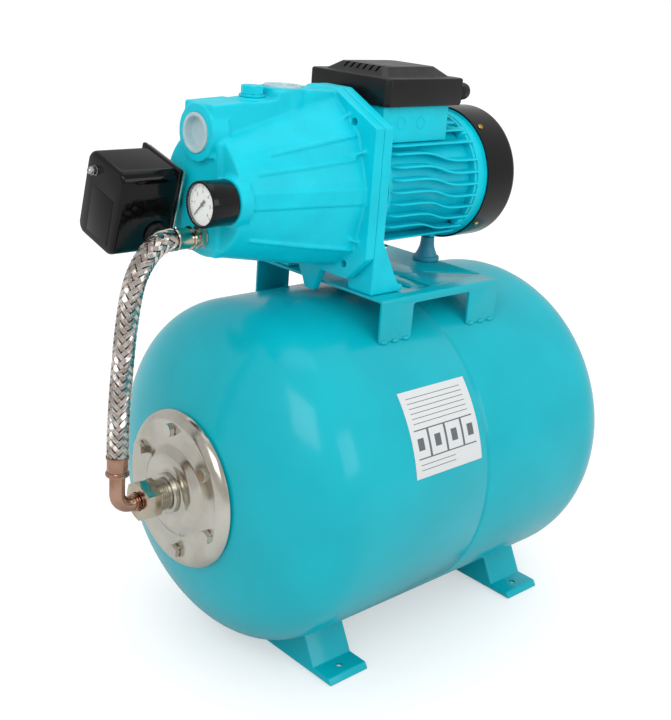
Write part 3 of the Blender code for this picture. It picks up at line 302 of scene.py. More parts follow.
    def roughen(self, tree: bpy.types.NodeTree, shader: bpy.types.Node, place: bpy.types.NodeSocket) -> None:
        """Raises the grain: orange peel, sand texture or tool marks.

        Args:
            tree: the material's node tree.
            shader: its Principled shader.
            place: the coordinate socket.
        """
        stretch = (14.0, 0.5, 0.5) if self.pattern is Pattern.TURNED else (1.0, 1.0, 1.0)
        turned = add_node(tree, "Mapping", {"Scale": stretch}, {"Vector": place})
        grain = add_node(tree, "TexNoise", {"Scale": 1000 / self.grain_mm, "Detail": 2.0, "Roughness": 0.5},
                         {"Vector": turned.outputs["Vector"]})
        bump = add_node(tree, "Bump", {"Strength": 0.6, "Distance": self.grain_height_mm / 1000},
                        {"Height": grain.outputs["Fac"]})
        tree.links.new(bump.outputs["Normal"], shader.inputs["Normal"])


# Stoved teal enamel on pressed steel: glossy, with a faint orange peel 3 mm across.
TANK_ENAMEL = Finish("teal_stoved_enamel", "tank_paint", "#07AFBE", 0.20, coat=0.1, ior=1.34,
                     second_colour="#06A8B7", mottle_mm=90, smudge=0.03, grain_mm=3.0, grain_height_mm=0.02)
# Satin cyan enamel on sand-cast iron: the sand shows through as a pebbled grain of about 1 mm.
CAST_ENAMEL = Finish("cyan_enamel_on_cast_iron", "pump_cast_iron", "#02C8DB", 0.38, ior=1.32,
                     second_colour="#01C0D3", mottle_mm=35, smudge=0.05, grain_mm=1.3, grain_height_mm=0.10)
# The same enamel on die-cast aluminium, whose skin is finer.
MOTOR_ENAMEL = Finish("cyan_enamel_on_die_cast_aluminium", "motor_aluminium", "#02CBDE", 0.38, ior=1.32,
                      second_colour="#01C4D6", mottle_mm=30, smudge=0.05, grain_mm=1.1, grain_height_mm=0.05)
# Bright zinc plate on pressed steel: a warm grey mirror, dulled in patches.
ZINC = Finish("bright_zinc_plate", "zinc_plate", "#D6D3C9", 0.20, 1.0, second_colour="#C2BDB1", mottle_mm=45,
              smudge=0.07, grain_mm=2.0, grain_height_mm=0.01)
# Nickel on machined brass, with turning marks.
NICKEL = Finish("nickel_plated_brass", "nickel_brass", "#CFC4B2", 0.16, 1.0, second_colour="#C0B29E",
                mottle_mm=18, smudge=0.04, grain_mm=1.2, grain_height_mm=0.008)
# Thin nickel that lets the copper under it glow through.
COPPER_TONE = Finish("copper_toned_nickel", "copper_tone", "#C29B88", 0.14, 1.0, second_colour="#A9806B",
                     mottle_mm=22, smudge=0.04, grain_mm=2.0, grain_height_mm=0.005)
# Drawn stainless wire, bright; its pinkish second tone, mottled every 6 mm, is a painted reflection of the
# copper-toned fittings.
WIRE = Finish("drawn_stainless_wire", "steel_braid", "#E9E6E1", 0.22, 1.0, second_colour="#DFD1C8",
              mottle_mm=6, smudge=0.06)
# Black rubber of the hose under its braid, dusty where it shows between the wires.
HOSE_RUBBER = Finish("hose_liner_rubber", "rubber", "#1B1918", 0.7, second_colour="#242120", mottle_mm=10)
# Satin moulded ABS: even, with spark-eroded texture of half a millimetre.
ABS = Finish("satin_moulded_abs", "black_plastic", "#101010", 0.32, ior=1.38, second_colour="#171718",
             mottle_mm=40, smudge=0.06, grain_mm=0.9, grain_height_mm=0.02)
# Polished phenolic moulding, nearly a black mirror with a brown cast.
PHENOLIC = Finish("polished_phenolic", "gloss_black_plastic", "#060404", 0.10, ior=1.34,
                  second_colour="#0C0908", mottle_mm=50, smudge=0.03, grain_mm=6.0, grain_height_mm=0.01)
# Black enamel on a drawn steel cowl.
BLACK_ENAMEL = Finish("black_enamel_on_steel", "black_steel", "#070707", 0.18, ior=1.36,
                      second_colour="#0D0D0E", mottle_mm=60, smudge=0.05, grain_mm=2.5, grain_height_mm=0.015)
# Moulded black rubber: dull, slightly chalky.
RUBBER = Finish("moulded_black_rubber", "rubber", "#1A1A1A", 0.72, second_colour="#222222", mottle_mm=15,
                grain_mm=0.8, grain_height_mm=0.04)
# Moulded blue rubber with a satin skin.
BLUE_RUBBER = Finish("moulded_blue_rubber", "blue_rubber", "#2A90A8", 0.45, second_colour="#25869D",
                     mottle_mm=15, smudge=0.05, grain_mm=0.9, grain_height_mm=0.02)
# Natural polyethylene: milky, a little see-through.
POLYETHYLENE = Finish("natural_polyethylene", "natural_plastic", "#D3EDF3", 0.22, second_colour="#C6E6EE",
                      mottle_mm=12, smudge=0.04, transmission=0.35, ior=1.51)
# Glass-filled nylon: dark, with fibres showing as fine grain.
FILLED_NYLON = Finish("glass_filled_nylon", "impeller_plastic", "#26262A", 0.42, second_colour="#2E2E32",
                      mottle_mm=14, grain_mm=0.8, grain_height_mm=0.03)
# Ground steel: bright, with fine tool marks round the axis.
GROUND_STEEL = Finish("ground_steel", "machined_steel", "#B9B9B7", 0.2, 1.0, second_colour="#A9A9A7",
                      mottle_mm=15, smudge=0.05, grain_mm=0.8, grain_height_mm=0.01, pattern=Pattern.TURNED)
# Stacked and varnished electrical steel: dull, ringed by its sheets.
LAMINATIONS = Finish("varnished_laminations", "lamination_steel", "#6D7075", 0.42, 1.0,
                     second_colour="#5E6166", mottle_mm=12, grain_mm=1.0, grain_height_mm=0.05,
                     pattern=Pattern.TURNED)
# Enamelled copper wire in a wound bundle: amber, with a wiry grain.
COPPER_WIRE = Finish("enamelled_copper_wire", "copper_wire", "#B5622F", 0.3, 1.0, second_colour="#9C4F22",
                     mottle_mm=8, grain_mm=1.0, grain_height_mm=0.2)
# Lapped ceramic: cream and even.
CERAMIC = Finish("lapped_ceramic", "ceramic", "#EBE6DA", 0.25, second_colour="#E3DDD0", mottle_mm=8)
# Moulded carbon: matt black.
CARBON = Finish("moulded_carbon", "needle_black", "#0A0A0A", 0.4, second_colour="#121212", mottle_mm=8)
# Enamelled dial: even warm white.
DIAL_CARD = Finish("enamelled_dial_card", "dial_white", "#F1F1EE", 0.45, second_colour="#EEEEEA",
                   mottle_mm=20)
# Satin white film printed in grey, with no lettering.
LABEL_FILM = Finish("printed_white_film", "dial_white", "#D2D5D6", 0.35, second_colour="#5E6467",
                    pattern=Pattern.PRINTED)
# Printing ink: flat black.
INK = Finish("black_printing_ink", "needle_black", "#121212", 0.45, second_colour="#161616", mottle_mm=5)
# Clear acrylic: nearly nothing but its shine.
LENS = Finish("acrylic_lens", "clear_lens", "#F4FAFB", 0.03, second_colour="#EEF6F8", mottle_mm=20,
              alpha=0.10, ior=1.49)
# Bare yellow brass: bright screws.
BRASS = Finish("yellow_brass", "nickel_brass", "#D9B25E", 0.2, 1.0, second_colour="#C79F4B", mottle_mm=6,
               smudge=0.05)


# ---------------------------------------------------------------- the bench: hand tools on operators


def deselect() -> None:
    """Lets go of everything, so that the next operator acts on its own piece alone."""
    if bpy.context.object and bpy.context.object.mode != "OBJECT":
        bpy.ops.object.mode_set(mode="OBJECT")
    bpy.ops.object.select_all(action="DESELECT")


def take(piece: bpy.types.Object) -> None:
    """Selects one piece alone."""
    deselect()
    piece.select_set(True)
    bpy.context.view_layer.objects.active = piece


def shown(name: str, data: bpy.types.ID) -> bpy.types.Object:
    """Puts data into the scene as a new object."""
    made = bpy.data.objects.new(name, data)
    bpy.context.scene.collection.objects.link(made)
    return made


def fresh(name: str) -> bpy.types.Object:
    """Names the primitive just added and puts its place into its mesh.

    Args:
        name: the piece's name.

    Returns:
        The piece.
    """
    piece = bpy.context.object
    piece.name = name
    piece.data.name = name
    bpy.ops.object.transform_apply(location=True, rotation=True, scale=True)
    return piece


def draw(name: str, points: Sequence[Vector]) -> bpy.types.Object:
    """Draws a chain of edges, pulling one vertex from each point to the next. It stays in edit mode.

    Args:
        name: the piece's name.
        points: the chain's points.

    Returns:
        The piece, with all of it selected.
    """
    deselect()
    bpy.ops.mesh.primitive_plane_add(size=0.001, location=points[0])
    piece = fresh(name)
    bpy.ops.object.mode_set(mode="EDIT")
    bpy.ops.mesh.merge(type="CENTER")
    for a, b in zip(points, points[1:]):
        bpy.ops.mesh.extrude_region_move(TRANSFORM_OT_translate={"value": b - a})
    bpy.ops.mesh.select_all(action="SELECT")
    return piece


def close_up(piece: bpy.types.Object, reach: float = 0.00002) -> bpy.types.Object:
    """Welds doubles and turns every face outwards, then leaves edit mode.

    Args:
        piece: a piece in edit mode.
        reach: how near two vertices are to be one.

    Returns:
        The piece.
    """
    bpy.ops.mesh.select_all(action="SELECT")
    bpy.ops.mesh.remove_doubles(threshold=reach)
    bpy.ops.mesh.normals_make_consistent(inside=False)
    bpy.ops.object.mode_set(mode="OBJECT")
    return piece


def spun(name: str, outline: Sequence[Pair], along: Axis = Axis.X, at: Point = (0, 0, 0), steps: int = 96,
         edge: float = 0.0) -> bpy.types.Object:
    """Spins an outline of (station, radius) about an axis.

    Args:
        name: the piece's name.
        outline: the outline; it is closed unless both of its ends lie on the axis.
        along: the axis's direction.
        at: a point on the axis.
        steps: steps in the full turn.
        edge: how far the hard edges are rounded, or 0.

    Returns:
        The piece.
    """
    points = [along.point(station, radius, at) for station, radius in outline]
    if outline[0][1] or outline[-1][1]:
        points.append(points[0])
    piece = draw(name, points)
    centre = along.point(0.0, 0.0, at)
    bpy.ops.mesh.spin(steps=steps, angle=FULL_TURN, center=centre, axis=along.vector)
    close_up(piece)
    if edge:
        soften(piece, edge, 3, 22)
    return piece


def extruded(name: str, outline: Sequence[Pair], span: Pair, along: Axis = Axis.X,
             edge: float = 0.0) -> bpy.types.Object:
    """Fills an outline drawn across an axis, and pulls it along that axis.

    Args:
        name: the piece's name.
        outline: the outline's corners.
        span: where the piece starts and ends along the axis.
        along: the axis.
        edge: how far the hard edges are rounded, or 0.

    Returns:
        The piece.
    """
    points = [along.flat(a, b, span[0]) for a, b in outline]
    piece = draw(name, [*points, points[0]])
    bpy.ops.mesh.remove_doubles(threshold=0.00002)
    bpy.ops.mesh.edge_face_add()
    bpy.ops.mesh.extrude_region_move(TRANSFORM_OT_translate={"value": along.vector * (span[1] - span[0])})
    close_up(piece)
    if edge:
        soften(piece, edge, 3, 22)
    return piece


def brick(name: str, low: Point, high: Point, edge: float = 0.0) -> bpy.types.Object:
    """A box between two corners, with its edges rounded.

    Args:
        name: the piece's name.
        low: lowest corner, its X measured from the seam.
        high: highest corner.
        edge: how far the edges are rounded, or 0.

    Returns:
        The piece.
    """
    deselect()
    low_corner, high_corner = Vector(low), Vector(high)
    middle = (low_corner + high_corner) / 2 + Vector((SEAM, 0, 0))
    bpy.ops.mesh.primitive_cube_add(size=1.0, location=middle, scale=high_corner - low_corner)
    piece = fresh(name)
    if edge:
        soften(piece, edge, 3, 22)
    return piece


def rod(name: str, radius: float, span: Pair, along: Axis = Axis.X, at: Point = (0, 0, 0), steps: int = 48,
        edge: float = 0.0) -> bpy.types.Object:
    """A round bar along an axis."""
    start, end = span
    return spun(name, [(start, 0), (start, radius), (end, radius), (end, 0)], along, at, steps, edge)


def hexagon(name: str, across_flats: float, span: Pair, at: Point, chamfer: float = 0.0008
            ) -> bpy.types.Object:
    """A hexagonal bar along X whose corners are turned off at both ends, as on a nut.

    Args:
        name: the piece's name.
        across_flats: its size.
        span: where it starts and ends.
        at: a point on its axis.
        chamfer: how far the turning cuts in along the axis.

    Returns:
        The piece.
    """
    radius = across_flats / 2
    corner = radius / math.cos(math.pi / 6)
    outline = [(corner * math.sin(math.pi / 3 * i) + at[1], corner * math.cos(math.pi / 3 * i) + at[2])
               for i in range(6)]
    piece = extruded(name, outline, span)
    low, high = min(span), max(span)
    turning = spun(name + "_turning", [(low, 0), (low, radius * 0.97), (low + chamfer, corner * 1.01),
                                       (high - chamfer, corner * 1.01), (high, radius * 0.97), (high, 0)],
                   at=at, steps=48)
    return carve(piece, [turning], "INTERSECT")


def tube(name: str, points: Sequence[Vector], radius: float, fineness: int = 6) -> bpy.types.Object:
    """A round tube along points, as a bevelled curve turned to a mesh.

    Args:
        name: the piece's name.
        points: the centreline in the row frame.
        radius: the tube's radius.
        fineness: the bevel's resolution.

    Returns:
        The piece.
    """
    return wires(name, [points], radius, fineness)


def wires(name: str, routes: Iterable[Sequence[Vector]], radius: float, fineness: int) -> bpy.types.Object:
    """Many round wires in one mesh.

    Args:
        name: the piece's name.
        routes: each wire's centreline.
        radius: the wires' radius.
        fineness: the bevel's resolution.

    Returns:
        The piece.
    """
    curve = bpy.data.curves.new(name, "CURVE")
    curve.dimensions = "3D"
    curve.bevel_depth = radius
    curve.bevel_resolution = fineness
    curve.use_fill_caps = True
    for route in routes:
        spline = curve.splines.new("POLY")
        spline.points.add(len(route) - 1)
        for knot, point in zip(spline.points, route):
            knot.co = (*point, 1.0)
    take(shown(name, curve))
    bpy.ops.object.convert(target="MESH")
    return bpy.context.object


def apply_modifier(piece: bpy.types.Object, kind: str, **settings: object) -> bpy.types.Object:
    """Puts a modifier on a piece and applies it.

    Args:
        piece: the piece.
        kind: the modifier's type.
        settings: its settings.

    Returns:
        The piece.
    """
    take(piece)
    modifier = piece.modifiers.new(kind.title(), kind)
    for name, value in settings.items():
        setattr(modifier, name, value)
    bpy.ops.object.modifier_apply(modifier=modifier.name)
    return piece


def soften(piece: bpy.types.Object, width: float, segments: int = 2, angle: float = 30.0) -> bpy.types.Object:
    """Rounds the edges sharper than an angle in degrees."""
    return apply_modifier(piece, "BEVEL", width=width, segments=segments, limit_method="ANGLE",
                          angle_limit=math.radians(angle), use_clamp_overlap=True)


def carve(piece: bpy.types.Object, tools: Sequence[bpy.types.Object], operation: str = "DIFFERENCE"
          ) -> bpy.types.Object:
    """Cuts tools from a piece, or joins them to it, and throws the tools away.

    Args:
        piece: the piece.
        tools: closed pieces.
        operation: DIFFERENCE, UNION or INTERSECT.

    Returns:
        The piece.
    """
    group = bpy.data.collections.new("tools")
    bpy.context.scene.collection.children.link(group)
    for tool in tools:
        group.objects.link(tool)
    apply_modifier(piece, "BOOLEAN", operation=operation, operand_type="COLLECTION", collection=group,
                   solver="EXACT")
    for tool in tools:
        bpy.data.objects.remove(tool)
    bpy.data.collections.remove(group)
    return piece


def gather(name: str, pieces: Sequence[bpy.types.Object]) -> bpy.types.Object:
    """Joins pieces into one object without cutting them.

    Args:
        name: the whole's name.
        pieces: the pieces.

    Returns:
        The whole.
    """
    deselect()
    for piece in pieces:
        piece.select_set(True)
    bpy.context.view_layer.objects.active = pieces[0]
    bpy.ops.object.join()
    whole = bpy.context.object
    whole.name = whole.data.name = name
    return whole


def cast(name: str, pieces: Sequence[bpy.types.Object], grid: float, passes: int) -> bpy.types.Object:
    """Melts overlapping solids into one skin whose inner corners are filled, as a casting's are.

    Args:
        name: the casting's name.
        pieces: closed pieces that overlap.
        grid: size of the skin's mesh.
        passes: how often the skin is smoothed.

    Returns:
        The casting.
    """
    whole = gather(name, pieces)
    apply_modifier(whole, "REMESH", mode="VOXEL", voxel_size=grid)
    apply_modifier(whole, "SMOOTH", factor=0.5, iterations=passes)
    return whole


def lofted(name: str, rings: Sequence[Sequence[Vector]]) -> bpy.types.Object:
    """A closed skin over rings of points, for sections that change shape along their way.

    Args:
        name: the piece's name.
        rings: rings of equal count.

    Returns:
        The piece.
    """
    shape = bmesh.new()
    rows = [[shape.verts.new(point) for point in ring] for ring in rings]
    count = len(rows[0])
    for lower, upper in zip(rows, rows[1:]):
        for i in range(count):
            j = (i + 1) % count
            shape.faces.new((lower[i], lower[j], upper[j], upper[i]))
    shape.faces.new(rows[0])
    shape.faces.new(rows[-1])
    bmesh.ops.recalc_face_normals(shape, faces=shape.faces)
    mesh = bpy.data.meshes.new(name)
    shape.to_mesh(mesh)
    shape.free()
    return shown(name, mesh)


def ring(station: float, radius_at: Callable[[float], float], count: int, z: float) -> list[Vector]:
    """Points around an axis along X, each at the distance that radius_at gives for its angle."""
    angles = [FULL_TURN * i / count for i in range(count)]
    return [Vector((station + SEAM, radius_at(a) * math.cos(a), z + radius_at(a) * math.sin(a)))
            for a in angles]


def level(x: Pair, half_width: float, z: float) -> list[Vector]:
    """Corners of a level rectangle, centred across the set."""
    low, high = x
    return [Vector((a + SEAM, y, z)) for a, y in ((low, -half_width), (high, -half_width), (high, half_width),
                                                  (low, half_width))]


def lean(piece: bpy.types.Object, angle: float, centre: Vector) -> bpy.types.Object:
    """Turns a piece about a line along X through a centre.

    Args:
        piece: the piece.
        angle: the turn, by the right hand about +X.
        centre: a point on the line.

    Returns:
        The piece.
    """
    turn = Matrix.Translation(centre) @ Matrix.Rotation(angle, 4, "X") @ Matrix.Translation(-centre)
    piece.data.transform(turn)
    return piece


def swung(piece: bpy.types.Object, angle: float, y: float, z: float) -> bpy.types.Object:
    """Turns a piece drawn about the X axis, and carries it out to its own axis.

    Args:
        piece: the piece.
        angle: the turn, by the right hand about +X.
        y: where its own axis lies across the set.
        z: how high its own axis lies.

    Returns:
        The piece.
    """
    piece.data.transform(Matrix.Translation((0, y, z)) @ Matrix.Rotation(angle, 4, "X"))
    return piece


def moved(piece: bpy.types.Object, by: Vector, name: str) -> bpy.types.Object:
    """A copy of a piece with its own mesh, put elsewhere.

    Args:
        piece: the piece to copy.
        by: how far the copy goes.
        name: the copy's name.

    Returns:
        The copy.
    """
    copy = piece.copy()
    copy.data = piece.data.copy()
    copy.name = copy.data.name = name
    copy.data.transform(Matrix.Translation(by))
    bpy.context.scene.collection.objects.link(copy)
    return copy


def fit(piece: bpy.types.Object, finish: Finish, nodes: Sequence[str] = (), body: str = STATIC,
        smooth_to: float = 32.0) -> bpy.types.Object:
    """Finishes a piece, hangs it on its body, hides the frame's nodes that it replaces and logs it.

    Args:
        piece: the piece, in place.
        finish: its finish.
        nodes: the frame's nodes that it replaces.
        body: the body that it moves with.
        smooth_to: edges up to this angle in degrees are shaded smooth.

    Returns:
        The piece.
    """
    take(piece)
    bpy.ops.object.shade_smooth_by_angle(angle=math.radians(smooth_to))
    piece.data.materials.clear()
    piece.data.materials.append(finish.material())
    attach(piece, body)
    if nodes:
        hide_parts(*nodes)
    LOG.info("%s: %d faces on %s", piece.name, len(piece.data.polygons), body)
    return piece


# ---------------------------------------------------------------- pressure tank


@dataclass
class PressureTank:
    """Two drawn shells joined by a joggled seam, a blank rating film and the air valve."""

    radius: float = TANK_RADIUS
    axis_z: float = TANK_Z
    wall: float = 0.002
    cylinder: Pair = (-0.169, 0.166)
    front_depth: float = 0.090
    rear_depth: float = 0.096
    roundness: float = 2.2  # 2 is an ellipse, more is squarer
    mouth_x: float = -0.2565
    mouth_radius: float = 0.048
    rim: float = 0.074
    valve_hole: float = 0.0063
    gap: float = 0.0003
    head_steps: int = 22
    turn_steps: int = 160
    film_x: Pair = (-0.1050, -0.0095)
    film_angles: Pair = (12.4, 39.8)  # degrees above the horizontal, on the gauge's side

    @property
    def at(self) -> Point:
        """A point on the tank's axis."""
        return (0.0, 0.0, self.axis_z)

    def head(self, start: float, depth: float, radius: float, first_radius: float, last_radius: float
             ) -> list[Pair]:
        """Outline of a tank head between two radii.

        Args:
            start: where the straight wall ends.
            depth: the head's depth, negative towards the mouth.
            radius: the wall's radius.
            first_radius: where the outline starts.
            last_radius: where it ends.

        Returns:
            The outline as (station, radius).
        """
        power = 2 / self.roundness
        first = math.acos((first_radius / radius) ** (1 / power))
        last = math.acos(min(1.0, (last_radius / radius) ** (1 / power)))
        points = []
        for i in range(self.head_steps):
            angle = first + (last - first) * i / (self.head_steps - 1)
            points.append((start + depth * math.sin(angle) ** power, radius * math.cos(angle) ** power))
        return points

    def front_shell(self) -> bpy.types.Object:
        """The shell with the mouth."""
        inner = self.radius - self.wall
        front = self.cylinder[0]
        outline = [(self.mouth_x, self.mouth_radius), (self.mouth_x, self.rim - 0.002),
                   (self.mouth_x + 0.0004, self.rim)]
        outline += self.head(front, -self.front_depth, self.radius, 0.082, self.radius)
        outline += [(-0.0012, self.radius), (-0.0003, self.radius - 0.0003), (0.0, self.radius - 0.001),
                    (0.0, inner)]
        outline += self.head(front, -self.front_depth + self.wall, inner, inner, 0.082)
        outline += [(self.mouth_x + self.wall, self.rim), (self.mouth_x + self.wall, self.mouth_radius)]
        return spun("tank_shell_front", outline, at=self.at, steps=self.turn_steps)

    def rear_shell(self) -> bpy.types.Object:
        """The shell whose edge is drawn in to slide under the front one."""
        inner = self.radius - self.wall
        neck = inner - self.gap
        rear = self.cylinder[1]
        outline = [(-0.010, neck), (0.0012, neck), (0.0024, neck + 0.0003), (0.0044, self.radius - 0.0004),
                   (0.0060, self.radius)]
        outline += self.head(rear, self.rear_depth, self.radius, self.valve_hole, self.radius)[::-1]
        outline += self.head(rear, self.rear_depth - self.wall, inner, self.valve_hole, inner)
        outline += [(0.0075, inner), (0.0020, neck - self.wall), (-0.010, neck - self.wall)]
        return spun("tank_shell_rear", outline, at=self.at, steps=self.turn_steps)

    def film(self) -> bpy.types.Object:
        """The rating film, bent round the wall, with no lettering."""
        reach = self.radius + 0.0002
        low, high = (math.radians(a) for a in self.film_angles)
        start = [Vector((x + SEAM, -reach * math.cos(low), self.axis_z + reach * math.sin(low)))
                 for x in self.film_x]
        piece = draw("rating_film", start)
        bpy.ops.mesh.spin(steps=24, angle=high - low, center=(SEAM, 0, self.axis_z), axis=(1, 0, 0))
        close_up(piece)
        chart = piece.data.uv_layers[0]
        left, right = self.film_x
        for loop in piece.data.loops:
            point = piece.data.vertices[loop.vertex_index].co
            rise = math.atan2(point.z - self.axis_z, -point.y)
            chart.data[loop.index].uv = ((point.x - SEAM - left) / (right - left),
                                         (rise - low) / (high - low))
        return apply_modifier(piece, "SOLIDIFY", thickness=0.0002, offset=0.0)

    def valve(self) -> None:
        """The air valve at the rear pole and its cap."""
        end = self.cylinder[1] + self.rear_depth
        stem = self.valve_hole - self.gap
        body = spun("air_valve_body",
                    [(0.2560, 0.0022), (0.2560, stem), (end + 0.0005, stem), (end + 0.0005, 0.0100),
                     (end + 0.0040, 0.0100), (end + 0.0040, 0.0045), (0.2780, 0.0045), (0.2780, 0.0022)],
                    at=self.at, steps=48, edge=0.0003)
        fit(body, NICKEL, ["air_valve"])
        cap = spun("air_valve_dust_cap",
                   [(end + 0.0045, 0.0050), (end + 0.0045, 0.0080), (0.2830, 0.0080), (0.2850, 0.0062),
                    (0.2850, 0.0), (0.2815, 0.0), (0.2815, 0.0050)], at=self.at, steps=48, edge=0.0003)
        fit(cap, ABS, ["air_valve_cap"])

    def build(self) -> None:
        """Makes the tank."""
        fit(self.front_shell(), TANK_ENAMEL, ["tank_front_shell"])
        fit(self.rear_shell(), TANK_ENAMEL, ["tank_rear_shell"])
        fit(self.film(), LABEL_FILM)
        self.valve()


@dataclass
class Counterflange:
    """The pressed flange that closes the tank's mouth, and its six bolts."""

    axis_z: float = TANK_Z
    face: float = -0.2640
    raised: float = -0.2705
    plate: float = 0.003
    radius: float = 0.081
    bore: float = 0.0169
    bolt_circle: float = 0.063
    bolt_turn: float = 36.6  # degrees
    bolts: int = 6

    def plate_piece(self) -> bpy.types.Object:
        """The pressed plate: dished centre, cone, flat bolt ring, raised bead and rolled edge."""
        face, raised, back = self.face, self.raised, self.plate
        outline = [(raised, self.bore), (raised, 0.0215), (raised + 0.0013, 0.0235),
                   (raised + 0.0016, 0.0280), (raised + 0.0005, 0.0318), (raised, 0.0345),
                   (raised + 0.0004, 0.0378),
                   (raised + 0.0016, 0.0405), (face - 0.0010, 0.0455), (face, 0.0480), (face, 0.0655),
                   (face - 0.0009, 0.0682), (face - 0.0014, 0.0708), (face - 0.0008, 0.0734),
                   (face + 0.0012, 0.0765), (face + 0.0036, 0.0790),
                   (face + 0.0060, 0.0804), (face + 0.0078, self.radius),
                   (face + 0.0090, self.radius - 0.0004),
                   (face + 0.0088, 0.0780), (face + 0.0048, 0.0755), (face + back, 0.0690),
                   (face + back, 0.0502), (raised + back, 0.0402), (raised + back, self.bore)]
        return spun("mouth_flange", outline, at=(0, 0, self.axis_z), steps=160)

    def bolt_spots(self) -> list[Vector]:
        """Where the bolts stand, from the flange's axis."""
        spots = []
        for i in range(self.bolts):
            angle = math.radians(self.bolt_turn + 360 / self.bolts * i)
            spots.append(Vector((0, -self.bolt_circle * math.cos(angle), self.bolt_circle * math.sin(angle))))
        return spots

    def build(self) -> None:
        """Makes the flange and its bolts."""
        fit(self.plate_piece(), ZINC, ["tank_flange"])
        head = bolt_head("mouth_bolt", self.face - 0.0003, -1, (0, 0, self.axis_z))
        for number, spot in enumerate(self.bolt_spots(), start=1):
            bolt = moved(head, spot, f"mouth_bolt_{number}")
            fit(bolt, ZINC, [f"flange_bolt_{number}"], smooth_to=24)
        bpy.data.objects.remove(head)


def bolt_head(name: str, seat: float, side: int, at: Point) -> bpy.types.Object:
    """An M8 hexagon head, 13 mm across flats, on its washer face and stub of shank.

    Args:
        name: the piece's name.
        seat: the station it sits on.
        side: which way it stands out along X, 1 or -1.
        at: a point on its axis.

    Returns:
        The piece.
    """
    def reach(*outward: float) -> Pair:
        """The span between two distances out from the seat, lowest first."""
        low, high = sorted(seat + side * out for out in outward)
        return low, high

    head = hexagon(name, 0.0130, reach(0.0004, 0.0055), at)
    washer = rod(name + "_washer", 0.0062, reach(0.0, 0.0006), at=at, steps=36)
    shank = rod(name + "_shank", 0.0034, reach(-0.012, 0.001), at=at, steps=24)
    return carve(head, [washer, shank], "UNION")


# ---------------------------------------------------------------- feet and saddle


